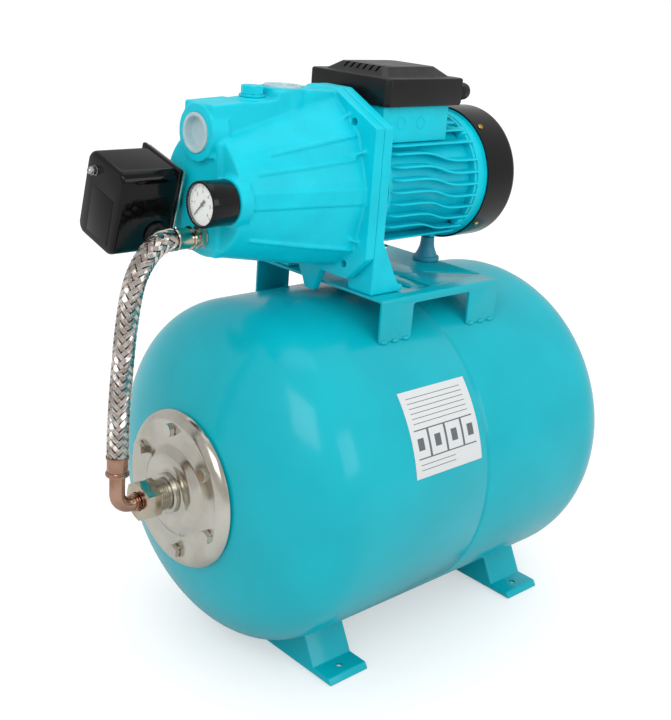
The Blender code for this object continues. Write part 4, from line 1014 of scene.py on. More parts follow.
@dataclass
class Stand:
    """Pressed feet under the tank, and the saddle plate that carries the pump."""

    tank_radius: float = TANK_RADIUS
    axis_z: float = TANK_Z
    foot_width: float = 0.0537
    half_span: float = 0.1314
    pad_top: float = 0.007
    sheet: float = 0.003
    hole_inset: float = 0.0172
    hole_radius: float = 0.0035
    seat_reach: float = 0.0850
    feet: dict[str, float] = field(default_factory=lambda: {"foot_front": -0.1542, "foot_rear": 0.1340})
    saddle_x: Pair = (-0.0933, 0.0829)
    half_width: float = 0.0976
    top: float = 0.3959
    leg: float = 0.0457
    skirt: float = 0.008
    bend: float = 0.003
    inner_bend: float = 0.001

    def foot_outline(self, inset: float) -> list[Pair]:
        """Across the set: pad, steep side and a seat that follows the tank.

        Args:
            inset: how far inside the foot's own skin the outline lies.

        Returns:
            The outline as (y, z).
        """
        def seat(y: float) -> float:
            """Height of the seat at y."""
            reach = self.tank_radius + 0.0006 + inset
            return self.axis_z - math.sqrt(reach**2 - y**2)

        half = [(self.half_span - inset, -0.001 if inset else 0.0),
                (self.half_span - 0.0045 - inset, self.pad_top - inset),
                (0.1030 - inset / 2, self.pad_top - inset)]
        half += [(y, seat(y)) for y in (self.seat_reach * (1 - i / 16) for i in range(16))]
        return half + [(0.0, seat(0.0))] + [(-y, z) for y, z in reversed(half)]

    def foot(self, node: str, start: float) -> None:
        """One foot.

        Args:
            node: the frame's node for it.
            start: where it starts along the set.
        """
        piece = extruded(node.replace("foot", "pressed_foot"), self.foot_outline(0.0),
                         (start, start + self.foot_width), edge=0.0014)
        hollow = extruded("foot_hollow", self.foot_outline(self.sheet),
                          (start + self.sheet, start + self.foot_width - self.sheet))
        hole_y = self.half_span - self.hole_inset
        middle = start + self.foot_width / 2
        holes = [rod("foot_hole", self.hole_radius, (-0.01, 0.02), Axis.Z, (middle, y, 0))
                 for y in (-hole_y, hole_y)]
        fit(carve(piece, [hollow, *holes]), TANK_ENAMEL, [node])

    def saddle_outline(self) -> list[Pair]:
        """Across the set: a channel upside down, with bent corners, standing on the tank."""
        wide, thick = self.half_width, self.sheet
        outer, inner = ([(y, self.axis_z + math.sqrt(self.tank_radius**2 - y**2) + 0.0006)]
                        for y in (wide, wide - thick))
        for i in range(7):
            angle = math.pi / 2 * i / 6
            across, down = 1 - math.cos(angle), 1 - math.sin(angle)
            outer.append((wide - self.bend * across, self.top - self.bend * down))
            inner.append((wide - thick - self.inner_bend * across, self.top - thick - self.inner_bend * down))
        return [*outer, *((-y, z) for y, z in reversed(outer)), *((-y, z) for y, z in inner), *inner[::-1]]

    def slots(self) -> list[bpy.types.Object]:
        """Tools for the slots: two pairs across, and one oblique slot a side."""
        tools = []
        for side in (-1, 1):
            for x, near, far in ((-0.0075, 0.033, 0.081), (-0.032, 0.050, 0.076)):
                low, high = sorted((side * near, side * far))
                tools.append(brick("saddle_slot", (x - 0.003, low, 0.38), (x + 0.003, high, 0.41), 0.0028))
        for side in (-1, 1):
            y = side * 0.054
            slot = brick("oblique_slot", (0.024, y - 0.0025, 0.38), (0.086, y + 0.0025, 0.41), 0.0023)
            centre = Vector((0.055 + SEAM, y, self.top))
            slot.data.transform(Matrix.Translation(centre) @ Matrix.Rotation(side * math.radians(34), 4, "Z")
                                @ Matrix.Translation(-centre))
            tools.append(slot)
        return tools

    def welds(self) -> list[bpy.types.Object]:
        """Three weld beads at the bottom of each leg."""
        beads = []
        low = self.axis_z + math.sqrt(self.tank_radius**2 - self.half_width**2)
        starts = (self.saddle_x[0], self.saddle_x[1] - self.leg)
        for side in (-1, 1):
            for start in starts:
                for step in (0.16, 0.5, 0.84):
                    deselect()
                    at = (start + self.leg * step + SEAM, side * (self.half_width + 0.0004), low + 0.0012)
                    bpy.ops.mesh.primitive_uv_sphere_add(segments=16, ring_count=10, radius=0.0038,
                                                         location=at, scale=(1.25, 0.50, 0.62))
                    beads.append(fresh("weld_bead"))
        return beads

    def saddle(self) -> None:
        """The saddle, cut open between its legs."""
        piece = extruded("pump_saddle_plate", self.saddle_outline(), self.saddle_x)
        window = brick("saddle_window", (self.saddle_x[0] + self.leg, -0.12, 0.30),
                       (self.saddle_x[1] - self.leg, 0.12, self.top - self.skirt), 0.003)
        carve(piece, [window, *self.slots()])
        soften(piece, 0.0006, 2, 40)
        carve(piece, self.welds(), "UNION")
        fit(piece, TANK_ENAMEL, ["pump_saddle"])

    def build(self) -> None:
        """Makes the feet and the saddle."""
        for node, start in self.feet.items():
            self.foot(node, start)
        self.saddle()


# ---------------------------------------------------------------- hose line


@dataclass
class HoseLine:
    """The braided hose between pump and tank, with its fittings."""

    axis_z: float = TANK_Z
    face: float = -0.2705
    nipple_radius: float = 0.0166
    nipple_threads: int = 10
    nipple_pitch: float = 0.0023
    nut_flats: float = 0.037
    elbow_x: float = -0.329
    elbow_radius: float = 0.0075
    bend: float = 0.015
    hose_radius: float = 0.0105
    port: Pair = (-0.008, 0.457)
    carriers: int = 8
    wires_each: int = 5
    weave: float = 0.00068
    wire_radius: float = 0.00042
    lay_angle: float = 42.0  # degrees between a wire and the hose
    samples: int = 184
    route: tuple[Point, ...] = (
        (-0.2797, -0.0080, 0.4570), (-0.2880, -0.0080, 0.4566), (-0.2965, -0.0078, 0.4527),
        (-0.3060, -0.0075, 0.4440), (-0.3150, -0.0068, 0.4290), (-0.3205, -0.0058, 0.4100),
        (-0.3243, -0.0044, 0.3800), (-0.3265, -0.0030, 0.3480), (-0.3280, -0.0015, 0.3150),
        (-0.3290, -0.0005, 0.2850), (-0.3290, 0.0000, 0.2650), (-0.3290, 0.0000, 0.2543))

    def centreline(self) -> list[Vector]:
        """Evenly spaced points on a smooth curve through the route.

        Returns:
            The points, in the row frame.
        """
        knots = [Vector((x + SEAM, y, z)) for x, y, z in self.route]
        padded = [2 * knots[0] - knots[1], *knots, 2 * knots[-1] - knots[-2]]
        fine = []
        for a, b, c, d in zip(padded, padded[1:], padded[2:], padded[3:]):
            for i in range(40):
                t = i / 40
                fine.append(0.5 * (2 * b + (c - a) * t + (2 * a - 5 * b + 4 * c - d) * t**2
                                   + (3 * b - a - 3 * c + d) * t**3))
        fine.append(knots[-1])
        lengths = [0.0]
        for a, b in zip(fine, fine[1:]):
            lengths.append(lengths[-1] + (b - a).length)
        points, k = [], 0
        for i in range(self.samples):
            wanted = lengths[-1] * i / (self.samples - 1)
            while k < len(fine) - 2 and lengths[k + 1] < wanted:
                k += 1
            share = (wanted - lengths[k]) / (lengths[k + 1] - lengths[k])
            points.append(fine[k].lerp(fine[k + 1], min(1.0, share)))
        return points

    def braid(self, line: list[Vector]) -> bpy.types.Object:
        """Wires wound both ways round the hose, each carrier passing over two and under the next two.

        Args:
            line: the hose's centreline.

        Returns:
            The braid.
        """
        frames = []
        side = Vector((0, 1, 0))
        length = [0.0]
        for i, point in enumerate(line):
            ahead = line[min(i + 1, len(line) - 1)] - line[max(i - 1, 0)]
            ahead.normalize()
            side = (side - ahead * side.dot(ahead)).normalized()
            frames.append((point, side, ahead.cross(side)))
            if i:
                length.append(length[-1] + (point - line[i - 1]).length)
        middle = self.hose_radius - self.weave - self.wire_radius
        rate = math.tan(math.radians(self.lay_angle)) / middle
        spacing = 2.02 * self.wire_radius / math.cos(math.radians(self.lay_angle)) / middle
        routes = []
        for way in (-1, 1):
            for carrier in range(self.carriers):
                for wire in range(self.wires_each):
                    start = FULL_TURN * carrier / self.carriers + spacing * (wire - (self.wires_each - 1) / 2)
                    path = []
                    for (point, out, up), s in zip(frames, length):
                        angle = start + way * rate * s
                        turn = math.pi * (carrier - 0.25) + way * rate * s * self.carriers / 2
                        reach = middle + way * self.weave * math.cos(turn)
                        path.append(point + out * (reach * math.cos(angle)) + up * (reach * math.sin(angle)))
                    routes.append(path)
        return wires("hose_wire_braid", routes, self.wire_radius, 0)

    def nipple(self) -> bpy.types.Object:
        """The threaded nipple, with its collar on the flange."""
        crest, root = self.nipple_radius, self.nipple_radius - 0.0012
        outline = [(-0.2500, 0.0100), (-0.2500, crest), (self.face - 0.0003, crest),
                   (self.face - 0.0003, 0.0205),
                   (self.face - 0.0045, 0.0205), (self.face - 0.0060, 0.0190), (self.face - 0.0062, root)]
        for turn in range(self.nipple_threads):
            station = -0.2780 - self.nipple_pitch * turn
            outline += [(station, root), (station - 0.0005, crest), (station - 0.0012, crest),
                        (station - 0.0017, root)]
        outline += [(-0.3005, root), (-0.3005, 0.0100)]
        return spun("union_nipple", outline, at=(0, 0, self.axis_z), steps=64)

    def elbow(self) -> bpy.types.Object:
        """The bent tail from the union nut up to the hose."""
        height = self.axis_z
        path = [Vector((x + SEAM, 0, height)) for x in (-0.3012, -0.3075)]
        for i in range(25):
            angle = math.radians(270 - 90 * i / 24)
            path.append(Vector((self.elbow_x + SEAM + self.bend * (1 + math.cos(angle)), 0,
                                height + self.bend * (1 + math.sin(angle)))))
        path.append(Vector((self.elbow_x + SEAM, 0, 0.2335)))
        bar = tube("hose_tail_elbow", path, self.elbow_radius, 8)
        beads = [spun("tail_bead", [(x, 0), (x, 0.0072), (x - 0.0005, 0.0088), (x - 0.0014, 0.0088),
                                    (x - 0.0019, 0.0072), (x - 0.0019, 0)], at=(0, 0, height), steps=48)
                 for x in (-0.3068, -0.3098)]
        return carve(bar, beads, "UNION")

    def build(self) -> None:
        """Makes the hose line."""
        fit(self.nipple(), ZINC, ["tank_nipple"], smooth_to=25)
        nut = hexagon("union_hex_nut", self.nut_flats, (-0.3065, -0.2890), (0, 0, self.axis_z), 0.0020)
        carve(nut, [rod("nut_mouth", 0.0096, (-0.32, -0.30), at=(0, 0, self.axis_z)),
                    rod("nut_thread", 0.0169, (-0.3035, -0.28), at=(0, 0, self.axis_z))])
        fit(soften(nut, 0.0004, 2, 35), NICKEL, ["union_nut"], smooth_to=20)
        fit(self.elbow(), COPPER_TONE, ["hose_elbow"])
        lower = spun("hose_ferrule_bottom",
                     [(0.2338, 0.0), (0.2338, 0.0092), (0.2344, 0.0112), (0.2356, 0.0115), (0.2368, 0.0112),
                      (0.2374, 0.0099), (0.2382, 0.0094), (0.2390, 0.0100), (0.2512, 0.0100),
                      (0.2518, 0.0110), (0.2535, 0.0110), (0.2540, 0.0105), (0.2540, 0.0)],
                     Axis.Z, (self.elbow_x, 0, 0), 96)
        fit(lower, COPPER_TONE, ["hose_ferrule_lower"], smooth_to=40)
        port = (0.0, *self.port)
        upper = spun("hose_ferrule_top",
                     [(-0.2782, 0.0), (-0.2782, 0.0098), (-0.2770, 0.0105), (-0.2760, 0.0098),
                      (-0.2640, 0.0098), (-0.2630, 0.0088), (-0.2618, 0.0090), (-0.2612, 0.0110),
                      (-0.2598, 0.0112),
                      (-0.2588, 0.0105), (-0.2583, 0.0088), (-0.2583, 0.0)], at=port, steps=96)
        fit(upper, NICKEL, ["hose_ferrule_upper"], smooth_to=40)
        connector = hexagon("hose_hex_connector", 0.019, (-0.2540, -0.2480), port, 0.0010)
        collar = rod("connector_collar", 0.01025, (-0.2481, -0.2463), at=port, edge=0.0004)
        throat = rod("connector_throat", 0.0080, (-0.2580, -0.2530), at=port)
        stem = rod("connector_stem", 0.0058, (-0.2470, -0.2330), at=port)
        carve(connector, [collar, throat, stem], "UNION")
        fit(connector, NICKEL, ["hose_connector"], smooth_to=24)
        line = self.centreline()
        liner = tube("hose_liner", line[::3] + [line[-1]], self.hose_radius - 0.0013, 8)
        fit(liner, HOSE_RUBBER)
        fit(self.braid(line), WIRE, ["braided_hose"], smooth_to=80)


# ---------------------------------------------------------------- pump casing


@dataclass
class PumpCasing:
    """The cast front of the pump, from its round nose to its faceted flange, and the plugs in its ports."""

    shaft_z: float = SHAFT_Z
    nose_radius: float = 0.0595
    flange_x: Pair = (-0.104, -0.0923)
    suction_z: float = 0.551
    outlet_x: float = -0.153
    priming_x: float = -0.190
    gauge_at: Pair = (-0.044, 0.496)
    hose_at: Pair = (-0.008, 0.457)
    bore: float = 0.0169
    recess: float = 0.0185
    plug_rim: float = 0.0182
    skin_grid: float = 0.00125
    octagon: tuple[Pair, ...] = ((-0.080, 0.434), (-0.080, 0.561), (-0.018, 0.591), (0.018, 0.591),
                                 (0.080, 0.561), (0.080, 0.434), (0.056, 0.410), (-0.056, 0.410))
    root: tuple[Pair, ...] = ((0.022, 0.088), (0.058, 0.057), (0.072, 0.013), (0.072, -0.013),
                              (0.062, -0.055), (0.040, -0.074), (0.014, -0.080))
    # Each rib's width, how proud it stands, and the stations (x, y, height above the shaft) it passes over.
    rib_lines: tuple[tuple[float, float, tuple[Point, ...]], ...] = (
        (0.0046, 0.0021, ((-0.205, 0.0500, 0.0420), (-0.160, 0.0545, 0.0490), (-0.108, 0.0575, 0.0565))),
        (0.0210, 0.0020, ((-0.232, 0.0580, 0.0030), (-0.165, 0.0660, 0.0020), (-0.102, 0.0720, 0.0000))),
        (0.0046, 0.0021, ((-0.225, 0.0500, -0.0350), (-0.165, 0.0550, -0.0440), (-0.106, 0.0610, -0.0540))),
        (0.0040, 0.0016, ((-0.222, 0.0530, 0.0250), (-0.165, 0.0600, 0.0300), (-0.112, 0.0650, 0.0350))))
    web_spots: tuple[Pair, ...] = ((0.0640, 0.0400), (0.0640, -0.0430), (0.0400, 0.0700))

    def root_radius(self, angle: float) -> float:
        """Distance from the shaft to the faceted section at an angle.

        Args:
            angle: from +Y towards +Z.

        Returns:
            The distance.
        """
        corners = ([(y, z) for y, z in self.root] + [(-y, z) for y, z in reversed(self.root)])[::-1]
        way = Vector((math.cos(angle), math.sin(angle)))
        for a, b in zip(corners, corners[1:] + corners[:1]):
            edge = Vector(b) - Vector(a)
            cross = way.x * edge.y - way.y * edge.x
            if abs(cross) < 1e-12:
                continue
            distance = (a[0] * edge.y - a[1] * edge.x) / cross
            share = (a[0] * way.y - a[1] * way.x) / cross
            if distance > 0 and -1e-9 <= share <= 1 + 1e-9:
                return distance
        raise ValueError("the section doesn't surround the shaft")

    def share_at(self, x: float) -> float:
        """How far the section has turned from round to faceted at a station."""
        knots = [(-0.2385, 0.0), (-0.2330, 0.01), (-0.1600, 0.62), (-0.1000, 1.0)]
        for (x_a, share_a), (x_b, share_b) in zip(knots, knots[1:]):
            if x <= x_b:
                return share_a + (share_b - share_a) * max(0.0, (x - x_a) / (x_b - x_a))
        return 1.0

    def skin(self, x: float, y: float, z: float, out: float) -> Vector:
        """The point of the body's skin in the direction of (y, z) from the shaft, moved out a little.

        Args:
            x: the station.
            y: across.
            z: height above the shaft.
            out: how far proud of the skin.

        Returns:
            The point.
        """
        angle = math.atan2(z, y)
        share = self.share_at(x)
        radius = self.nose_radius * (1 - share) + self.root_radius(angle) * share + out
        return Vector((x + SEAM, radius * math.cos(angle), self.shaft_z + radius * math.sin(angle)))

    def body(self) -> bpy.types.Object:
        """The body, from the nose to the flange."""
        rings = []
        for x, share, scale in ((-0.2420, 0.0, 0.955), (-0.2412, 0.0, 0.978), (-0.2395, 0.0, 0.992),
                                (-0.2370, 0.0, 1.0), (-0.2330, 0.01, 1.0), (-0.1600, 0.62, 1.0),
                                (-0.1000, 1.0, 1.0)):
            rings.append(ring(x, lambda a, s=share, k=scale:
                              (self.nose_radius * (1 - s) + self.root_radius(a) * s) * k, 120, self.shaft_z))
        return lofted("pump_front_casting", rings)

    def rib(self, stations: Sequence[Point], width: float, proud: float) -> bpy.types.Object:
        """A rib along the body's skin.

        Args:
            stations: (x, y, height above the shaft) that it passes over.
            width: its width round the body.
            proud: how far it stands out.

        Returns:
            The rib.
        """
        rows = []
        for x, y, z in stations:
            angle = math.atan2(z, y)
            half = width / 2 / math.hypot(y, z)
            rows.append([self.skin(x, math.cos(a), math.sin(a), out)
                         for a, out in ((angle - half, -0.003), (angle - half * 0.7, proud),
                                        (angle + half * 0.7, proud), (angle + half, -0.003))])
        return lofted("casing_rib", rows)

    def ribs(self) -> list[bpy.types.Object]:
        """Corner ribs, the raised bands at the mould's parting, and the webs behind the bolt lugs."""
        made = []
        for side in (-1, 1):
            for width, proud, path in self.rib_lines:
                made.append(self.rib([(x, side * y, z) for x, y, z in path], width, proud))
            for y, z in self.web_spots:
                made.append(self.web(side * y, z))
        return made

    def web(self, y: float, z: float) -> bpy.types.Object:
        """A small three-cornered web between the body and the flange.

        Args:
            y: across.
            z: height above the shaft.

        Returns:
            The web.
        """
        angle = math.atan2(z, y)
        out = Vector((0, math.cos(angle), math.sin(angle)))
        across = Vector((0, -math.sin(angle), math.cos(angle))) * 0.0016
        axis = Vector((SEAM, 0, self.shaft_z))
        reach = math.hypot(y, z)
        corners = [axis + Vector((x, 0, 0)) + out * (reach + step)
                   for x, step in ((-0.130, -0.012), (-0.1035, 0.007), (-0.100, 0.007), (-0.100, -0.014))]
        return lofted("casing_web", [[corner + way * across for corner in corners] for way in (-1, 1)])

    def bosses(self) -> list[bpy.types.Object]:
        """Everything that stands on the body: port bosses, top block, face band, drain lug and flange."""
        top = [(-0.2500, 0.5300), (-0.2500, 0.5775), (-0.2080, 0.5800), (-0.2040, 0.5790), (-0.1768, 0.5812),
               (-0.1740, 0.5880), (-0.1300, 0.5895), (-0.1020, 0.5880), (-0.1020, 0.5300)]
        lug = [level((-0.105, -0.0943), 0.020, 0.416), level((-0.103, -0.095), 0.0065, 0.3856)]
        foot = [level((-0.2450, -0.2330), 0.0270, 0.4480), level((-0.2425, -0.2330), 0.0225, 0.4385)]
        return [extruded("casing_flange", self.octagon, self.flange_x),
                extruded("top_block", top, (-0.0215, 0.0215), Axis.Y, edge=0.0012),
                brick("face_band", (-0.2455, -0.0270, 0.4470), (-0.2335, 0.0270, 0.5450)),
                lofted("band_foot", foot),
                rod("suction_boss", 0.0260, (-0.2520, -0.2325), at=(0, 0, self.suction_z), steps=96),
                rod("gauge_boss", 0.0225, (-0.2475, -0.2330), at=(0, *self.gauge_at), steps=96),
                rod("hose_boss", 0.0120, (-0.2463, -0.2330), at=(0, *self.hose_at)),
                rod("outlet_boss", 0.0230, (0.5500, 0.5905), Axis.Z, (self.outlet_x, 0, 0), 96),
                rod("priming_boss", 0.0135, (0.5500, 0.5816), Axis.Z, (self.priming_x, 0, 0)),
                lofted("drain_lug", lug)]

    def casting(self) -> bpy.types.Object:
        """The casting, melted into one skin and then bored and faced."""
        whole = cast("pump_front_casting", [self.body(), *self.bosses(), *self.ribs()], self.skin_grid, 2)
        suction, outlet = (0, 0, self.suction_z), (self.outlet_x, 0, 0)
        tools = [rod("suction_bore", self.bore, (-0.26, -0.215), at=suction, steps=72),
                 rod("suction_recess", self.recess, (-0.26, -0.2508), at=suction, steps=72),
                 rod("suction_facing", 0.0300, (-0.27, -0.2519), at=suction, steps=72),
                 rod("outlet_bore", self.bore, (0.560, 0.60), Axis.Z, outlet, 72),
                 rod("outlet_recess", self.recess, (0.5892, 0.60), Axis.Z, outlet, 72),
                 rod("priming_bore", 0.0068, (0.5405, 0.60), Axis.Z, (self.priming_x, 0, 0)),
                 brick("flange_facing", (-0.0923, -0.1, 0.36), (-0.08, 0.1, 0.62))]
        tools += [rod("bolt_hole", BOLT_HOLE, (-0.106, -0.08), at=(0, *spot)) for spot in BOLT_SPOTS]
        return carve(whole, tools)

    def plugs(self) -> None:
        """Moulded shipping plugs in the ports, and the screwed priming plug."""
        thread = self.bore - 0.0003
        suction = spun("suction_shipping_plug",
                       [(-0.2465, 0.0), (-0.2465, 0.0140), (-0.2535, 0.0148), (-0.2535, self.plug_rim),
                        (-0.2511, self.plug_rim), (-0.2511, thread), (-0.2380, thread), (-0.2380, 0.0)],
                       at=(0, 0, self.suction_z), edge=0.0004)
        fit(suction, POLYETHYLENE, ["suction_port_plug"])
        outlet = spun("outlet_shipping_plug",
                      [(0.5780, 0.0), (0.5780, thread), (0.5895, thread), (0.5895, self.plug_rim),
                       (0.5923, self.plug_rim), (0.5923, 0.0145), (0.5860, 0.0138), (0.5860, 0.0)],
                      Axis.Z, (self.outlet_x, 0, 0), edge=0.0004)
        fit(outlet, POLYETHYLENE, ["outlet_port_plug"])
        priming = hexagon("priming_screw_plug", 0.019, (0.5840, 0.5922), (0, 0, 0), 0.0010)
        turn = Matrix.Translation((self.priming_x + SEAM, 0, 0)) @ Matrix.Rotation(-math.pi / 2, 4, "Y")
        priming.data.transform(turn @ Matrix.Translation((-SEAM, 0, 0)))
        stem = rod("plug_stem", 0.0065, (0.5660, 0.5845), Axis.Z, (self.priming_x, 0, 0))
        washer = rod("plug_washer", 0.0120, (0.5819, 0.5841), Axis.Z, (self.priming_x, 0, 0), edge=0.0004)
        carve(priming, [stem, washer], "UNION")
        fit(priming, CAST_ENAMEL, ["priming_plug"], smooth_to=24)

    def build(self) -> None:
        """Makes the casing and its plugs."""
        fit(self.casting(), CAST_ENAMEL, ["pump_casing"], smooth_to=40)
        self.plugs()


# ---------------------------------------------------------------- motor


@dataclass
class MotorUnit:
    """The bracket, the finned frame with its terminal box base, the end shield, the cowl and the foot."""

    shaft_z: float = SHAFT_Z
    bracket_x: Pair = (-0.092, -0.080)
    frame_x: Pair = (-0.0657, 0.066)
    tube: float = 0.060
    bore: float = 0.0563
    fin_radius: float = 0.0715
    fin_pitch: float = 0.0122
    fins: int = 8
    short_fins: tuple[Point, ...] = (  # height above the shaft, start and end
        (0.0535, 0.0200, 0.0600), (0.0600, 0.0200, 0.0520), (-0.0545, -0.0500, 0.0600))
    cover_x: Pair = (0.078, 0.1264)
    cover_radius: float = 0.0721
    cover_bend: float = 0.0090
    cover_sheet: float = 0.0018
    slots: int = 8
    screw_x: float = 0.0865
    foot_x: float = 0.0720
    skin_grid: float = 0.0012

    @property
    def at(self) -> Point:
        """A point on the shaft."""
        return (0.0, 0.0, self.shaft_z)

    def bracket(self) -> bpy.types.Object:
        """The cast bracket: plate, splayed feet and the hub that carries the front bearing."""
        legs = [(-0.080, 0.3963), (-0.080, 0.561), (-0.018, 0.591), (0.018, 0.591), (0.080, 0.561),
                (0.080, 0.3963), (0.046, 0.3963), (0.044, 0.410), (-0.044, 0.410), (-0.046, 0.3963)]
        solids = [extruded("bracket_plate", legs, self.bracket_x)]
        gusset = [(-0.0810, 0.4500), (-0.0800, 0.4500), (-0.0540, 0.4020), (-0.0540, 0.3990),
                  (-0.0810, 0.3990)]
        toe = [(-0.0820, 0.4140), (-0.0600, 0.4140), (-0.0535, 0.4030), (-0.0480, 0.4030), (-0.0480, 0.3963),
               (-0.0820, 0.3963)]
        for side in (-1, 1):
            solids.append(extruded("gusset", gusset, (side * 0.0590, side * 0.0795), Axis.Y))
            solids.append(extruded("toe", toe, (side * 0.0470, side * 0.0797), Axis.Y))
        solids.append(spun("hub_ring", [(-0.0850, 0.0400), (-0.0850, 0.0730), (-0.0790, 0.0715),
                                        (-0.0665, 0.0700), (-0.0665, 0.0400)], at=self.at, steps=72))
        whole = cast("motor_bracket_casting", solids, self.skin_grid, 3)
        centre = rod("bracket_core", 0.0300, (-0.11, -0.06), at=self.at, steps=72)
        tools = [centre, brick("bracket_facing", (-0.10, -0.1, 0.36), (-0.0920, 0.1, 0.62)),
                 brick("bracket_sole", (-0.10, -0.1, 0.38), (-0.04, 0.1, 0.3963))]
        for y in (-0.067, 0.067):
            tools.append(brick("drip_window", (-0.0785, y - 0.011, self.shaft_z - 0.030),
                               (-0.0700, y + 0.011, self.shaft_z + 0.022), 0.0030))
        tools += [rod("bolt_hole", BOLT_HOLE, (-0.10, -0.07), at=(0, *spot)) for spot in BOLT_SPOTS]
        carve(whole, tools)
        bearing_seat = spun("bearing_seat",
                            [(-0.1180, 0.0143), (-0.1180, 0.0545), (-0.0921, 0.0545), (-0.0921, 0.0300),
                             (-0.0640, 0.0300), (-0.0640, 0.0203), (-0.0767, 0.0203), (-0.0767, 0.0085),
                             (-0.0945, 0.0085), (-0.0945, 0.0143)], at=self.at, steps=72)
        return gather("motor_bracket_casting", [whole, bearing_seat])

    def fin(self, height: float, side: int, start: float, end: float, wave: float) -> bpy.types.Object:
        """A longitudinal fin with a rounded crest, dipping halfway along.

        Args:
            height: its height above the shaft where it is level.
            side: 1 or -1.
            start: where it begins.
            end: where it ends.
            wave: how far it dips.

        Returns:
            The fin.
        """
        rings = []
        count = 36
        for i in range(count + 1):
            x = start + (end - start) * i / count
            z = height - wave * math.tanh((x - 0.010) / 0.016)
            crest = math.sqrt(self.fin_radius**2 - min(abs(z), 0.0665) ** 2)
            base = math.sqrt(max(self.tube**2 - z**2, 0.0)) - 0.006
            rise = min(1.0, (x - start) / 0.009)
            crest = base + 0.006 + (crest - base - 0.006) * (0.15 + 0.85 * rise * (2 - rise))
            rings.append([Vector((x + SEAM, side * out, self.shaft_z + z + up)) for out, up in
                          ((base, -0.0017), (crest - 0.0008, -0.0011), (crest, -0.0004), (crest, 0.0004),
                           (crest - 0.0008, 0.0011), (base, 0.0017))])
        return lofted("fin", rings)

    def motor_frame(self) -> bpy.types.Object:
        """The frame: tube, end rings, fins and the base of the terminal box, bored for the stator."""
        start, end = self.frame_x
        piece = spun("motor_frame_casting",
                     [(start, 0.050), (start, 0.0618), (start + 0.0007, 0.0625), (-0.0572, 0.0625),
                      (-0.0560, 0.0620), (-0.0548, self.tube), (0.0610, self.tube), (0.0618, 0.0670),
                      (0.0650, 0.0670), (end, 0.0662), (end, 0.050)], at=self.at, steps=120)
        parts = [brick("box_base", (-0.0655, -0.0500, 0.5400), (0.0280, 0.0500, 0.5757), 0.0010)]
        wave = self.fin_pitch * 0.42
        for side in (-1, 1):
            for k in range(self.fins):
                height = (k - (self.fins - 1) / 2) * self.fin_pitch
                dip = 0.0 if k == self.fins - 1 else wave
                parts.append(self.fin(height, side, -0.0600 + 0.0012 * (k % 3), 0.0640, dip))
            for height, start_x, end_x in self.short_fins:
                parts.append(self.fin(height, side, start_x, end_x, 0.0))
        for x in (-0.040, -0.012):
            deselect()
            bpy.ops.mesh.primitive_torus_add(location=(x + SEAM, -0.0500, 0.5590),
                                             rotation=(math.pi / 2, 0, 0), major_radius=0.0056,
                                             minor_radius=0.0006, major_segments=40, minor_segments=8)
            parts.append(fresh("knockout_ring"))
        for angle in COWL_SCREW_ANGLES:
            lug = brick("screw_lug", (0.0560, -0.0050, 0.0600), (0.0650, 0.0050, 0.0690), 0.0010)
            parts.append(swung(lug, math.radians(angle - 90), 0, self.shaft_z))
        carve(piece, parts, "UNION")
        return carve(piece, [rod("stator_bore", self.bore, (-0.08, 0.08), at=self.at, steps=96),
                             brick("wiring_well", (-0.0600, -0.0440, 0.5535), (0.0230, 0.0440, 0.60))])

    def cowl(self) -> bpy.types.Object:
        """The fan's cowl, with a rolled rear edge and slots for the air."""
        front, rear, radius = *self.cover_x, self.cover_radius
        outer, inner = [], []
        bend, sheet = self.cover_bend, self.cover_sheet
        for i in range(9):
            angle = math.pi / 2 * i / 8
            outer.append((rear - bend * (1 - math.sin(angle)), radius - bend * (1 - math.cos(angle))))
            inner.append((rear - bend + (bend - sheet) * math.cos(angle),
                          radius - bend + (bend - sheet) * math.sin(angle)))
        outline = [(front, radius), *outer, (rear, 0.0), (rear - sheet, 0.0), *inner, (front, radius - sheet)]
        piece = spun("fan_cowl", outline, at=self.at, steps=144)
        tools = []
        for i in range(self.slots):
            slot = brick("air_slot", (0.110, 0.0200, -0.0042), (0.135, 0.0560, 0.0042), 0.0040)
            tools.append(swung(slot, FULL_TURN * i / self.slots, 0, self.shaft_z))
        return carve(piece, tools)

    def cowl_screws(self) -> None:
        """Brass screws that hold the cowl to the end shield."""
        for number, angle in enumerate(COWL_SCREW_ANGLES, start=1):
            head = spun("cowl_screw", [(0.0, 0.0), (0.0, 0.0030), (0.0008, 0.0030), (0.0019, 0.0022),
                                       (0.0023, 0.0)], Axis.Z, steps=32)
            carve(head, [brick("screw_groove", (-0.004, -0.0004, 0.0015), (0.004, 0.0004, 0.004))])
            head.data.transform(Matrix.Translation((self.screw_x, 0, self.cover_radius - 0.0003)))
            swung(head, math.radians(angle - 90), 0, self.shaft_z)
            head.name = head.data.name = f"cowl_screw_{number}"
            fit(head, BRASS, smooth_to=30)

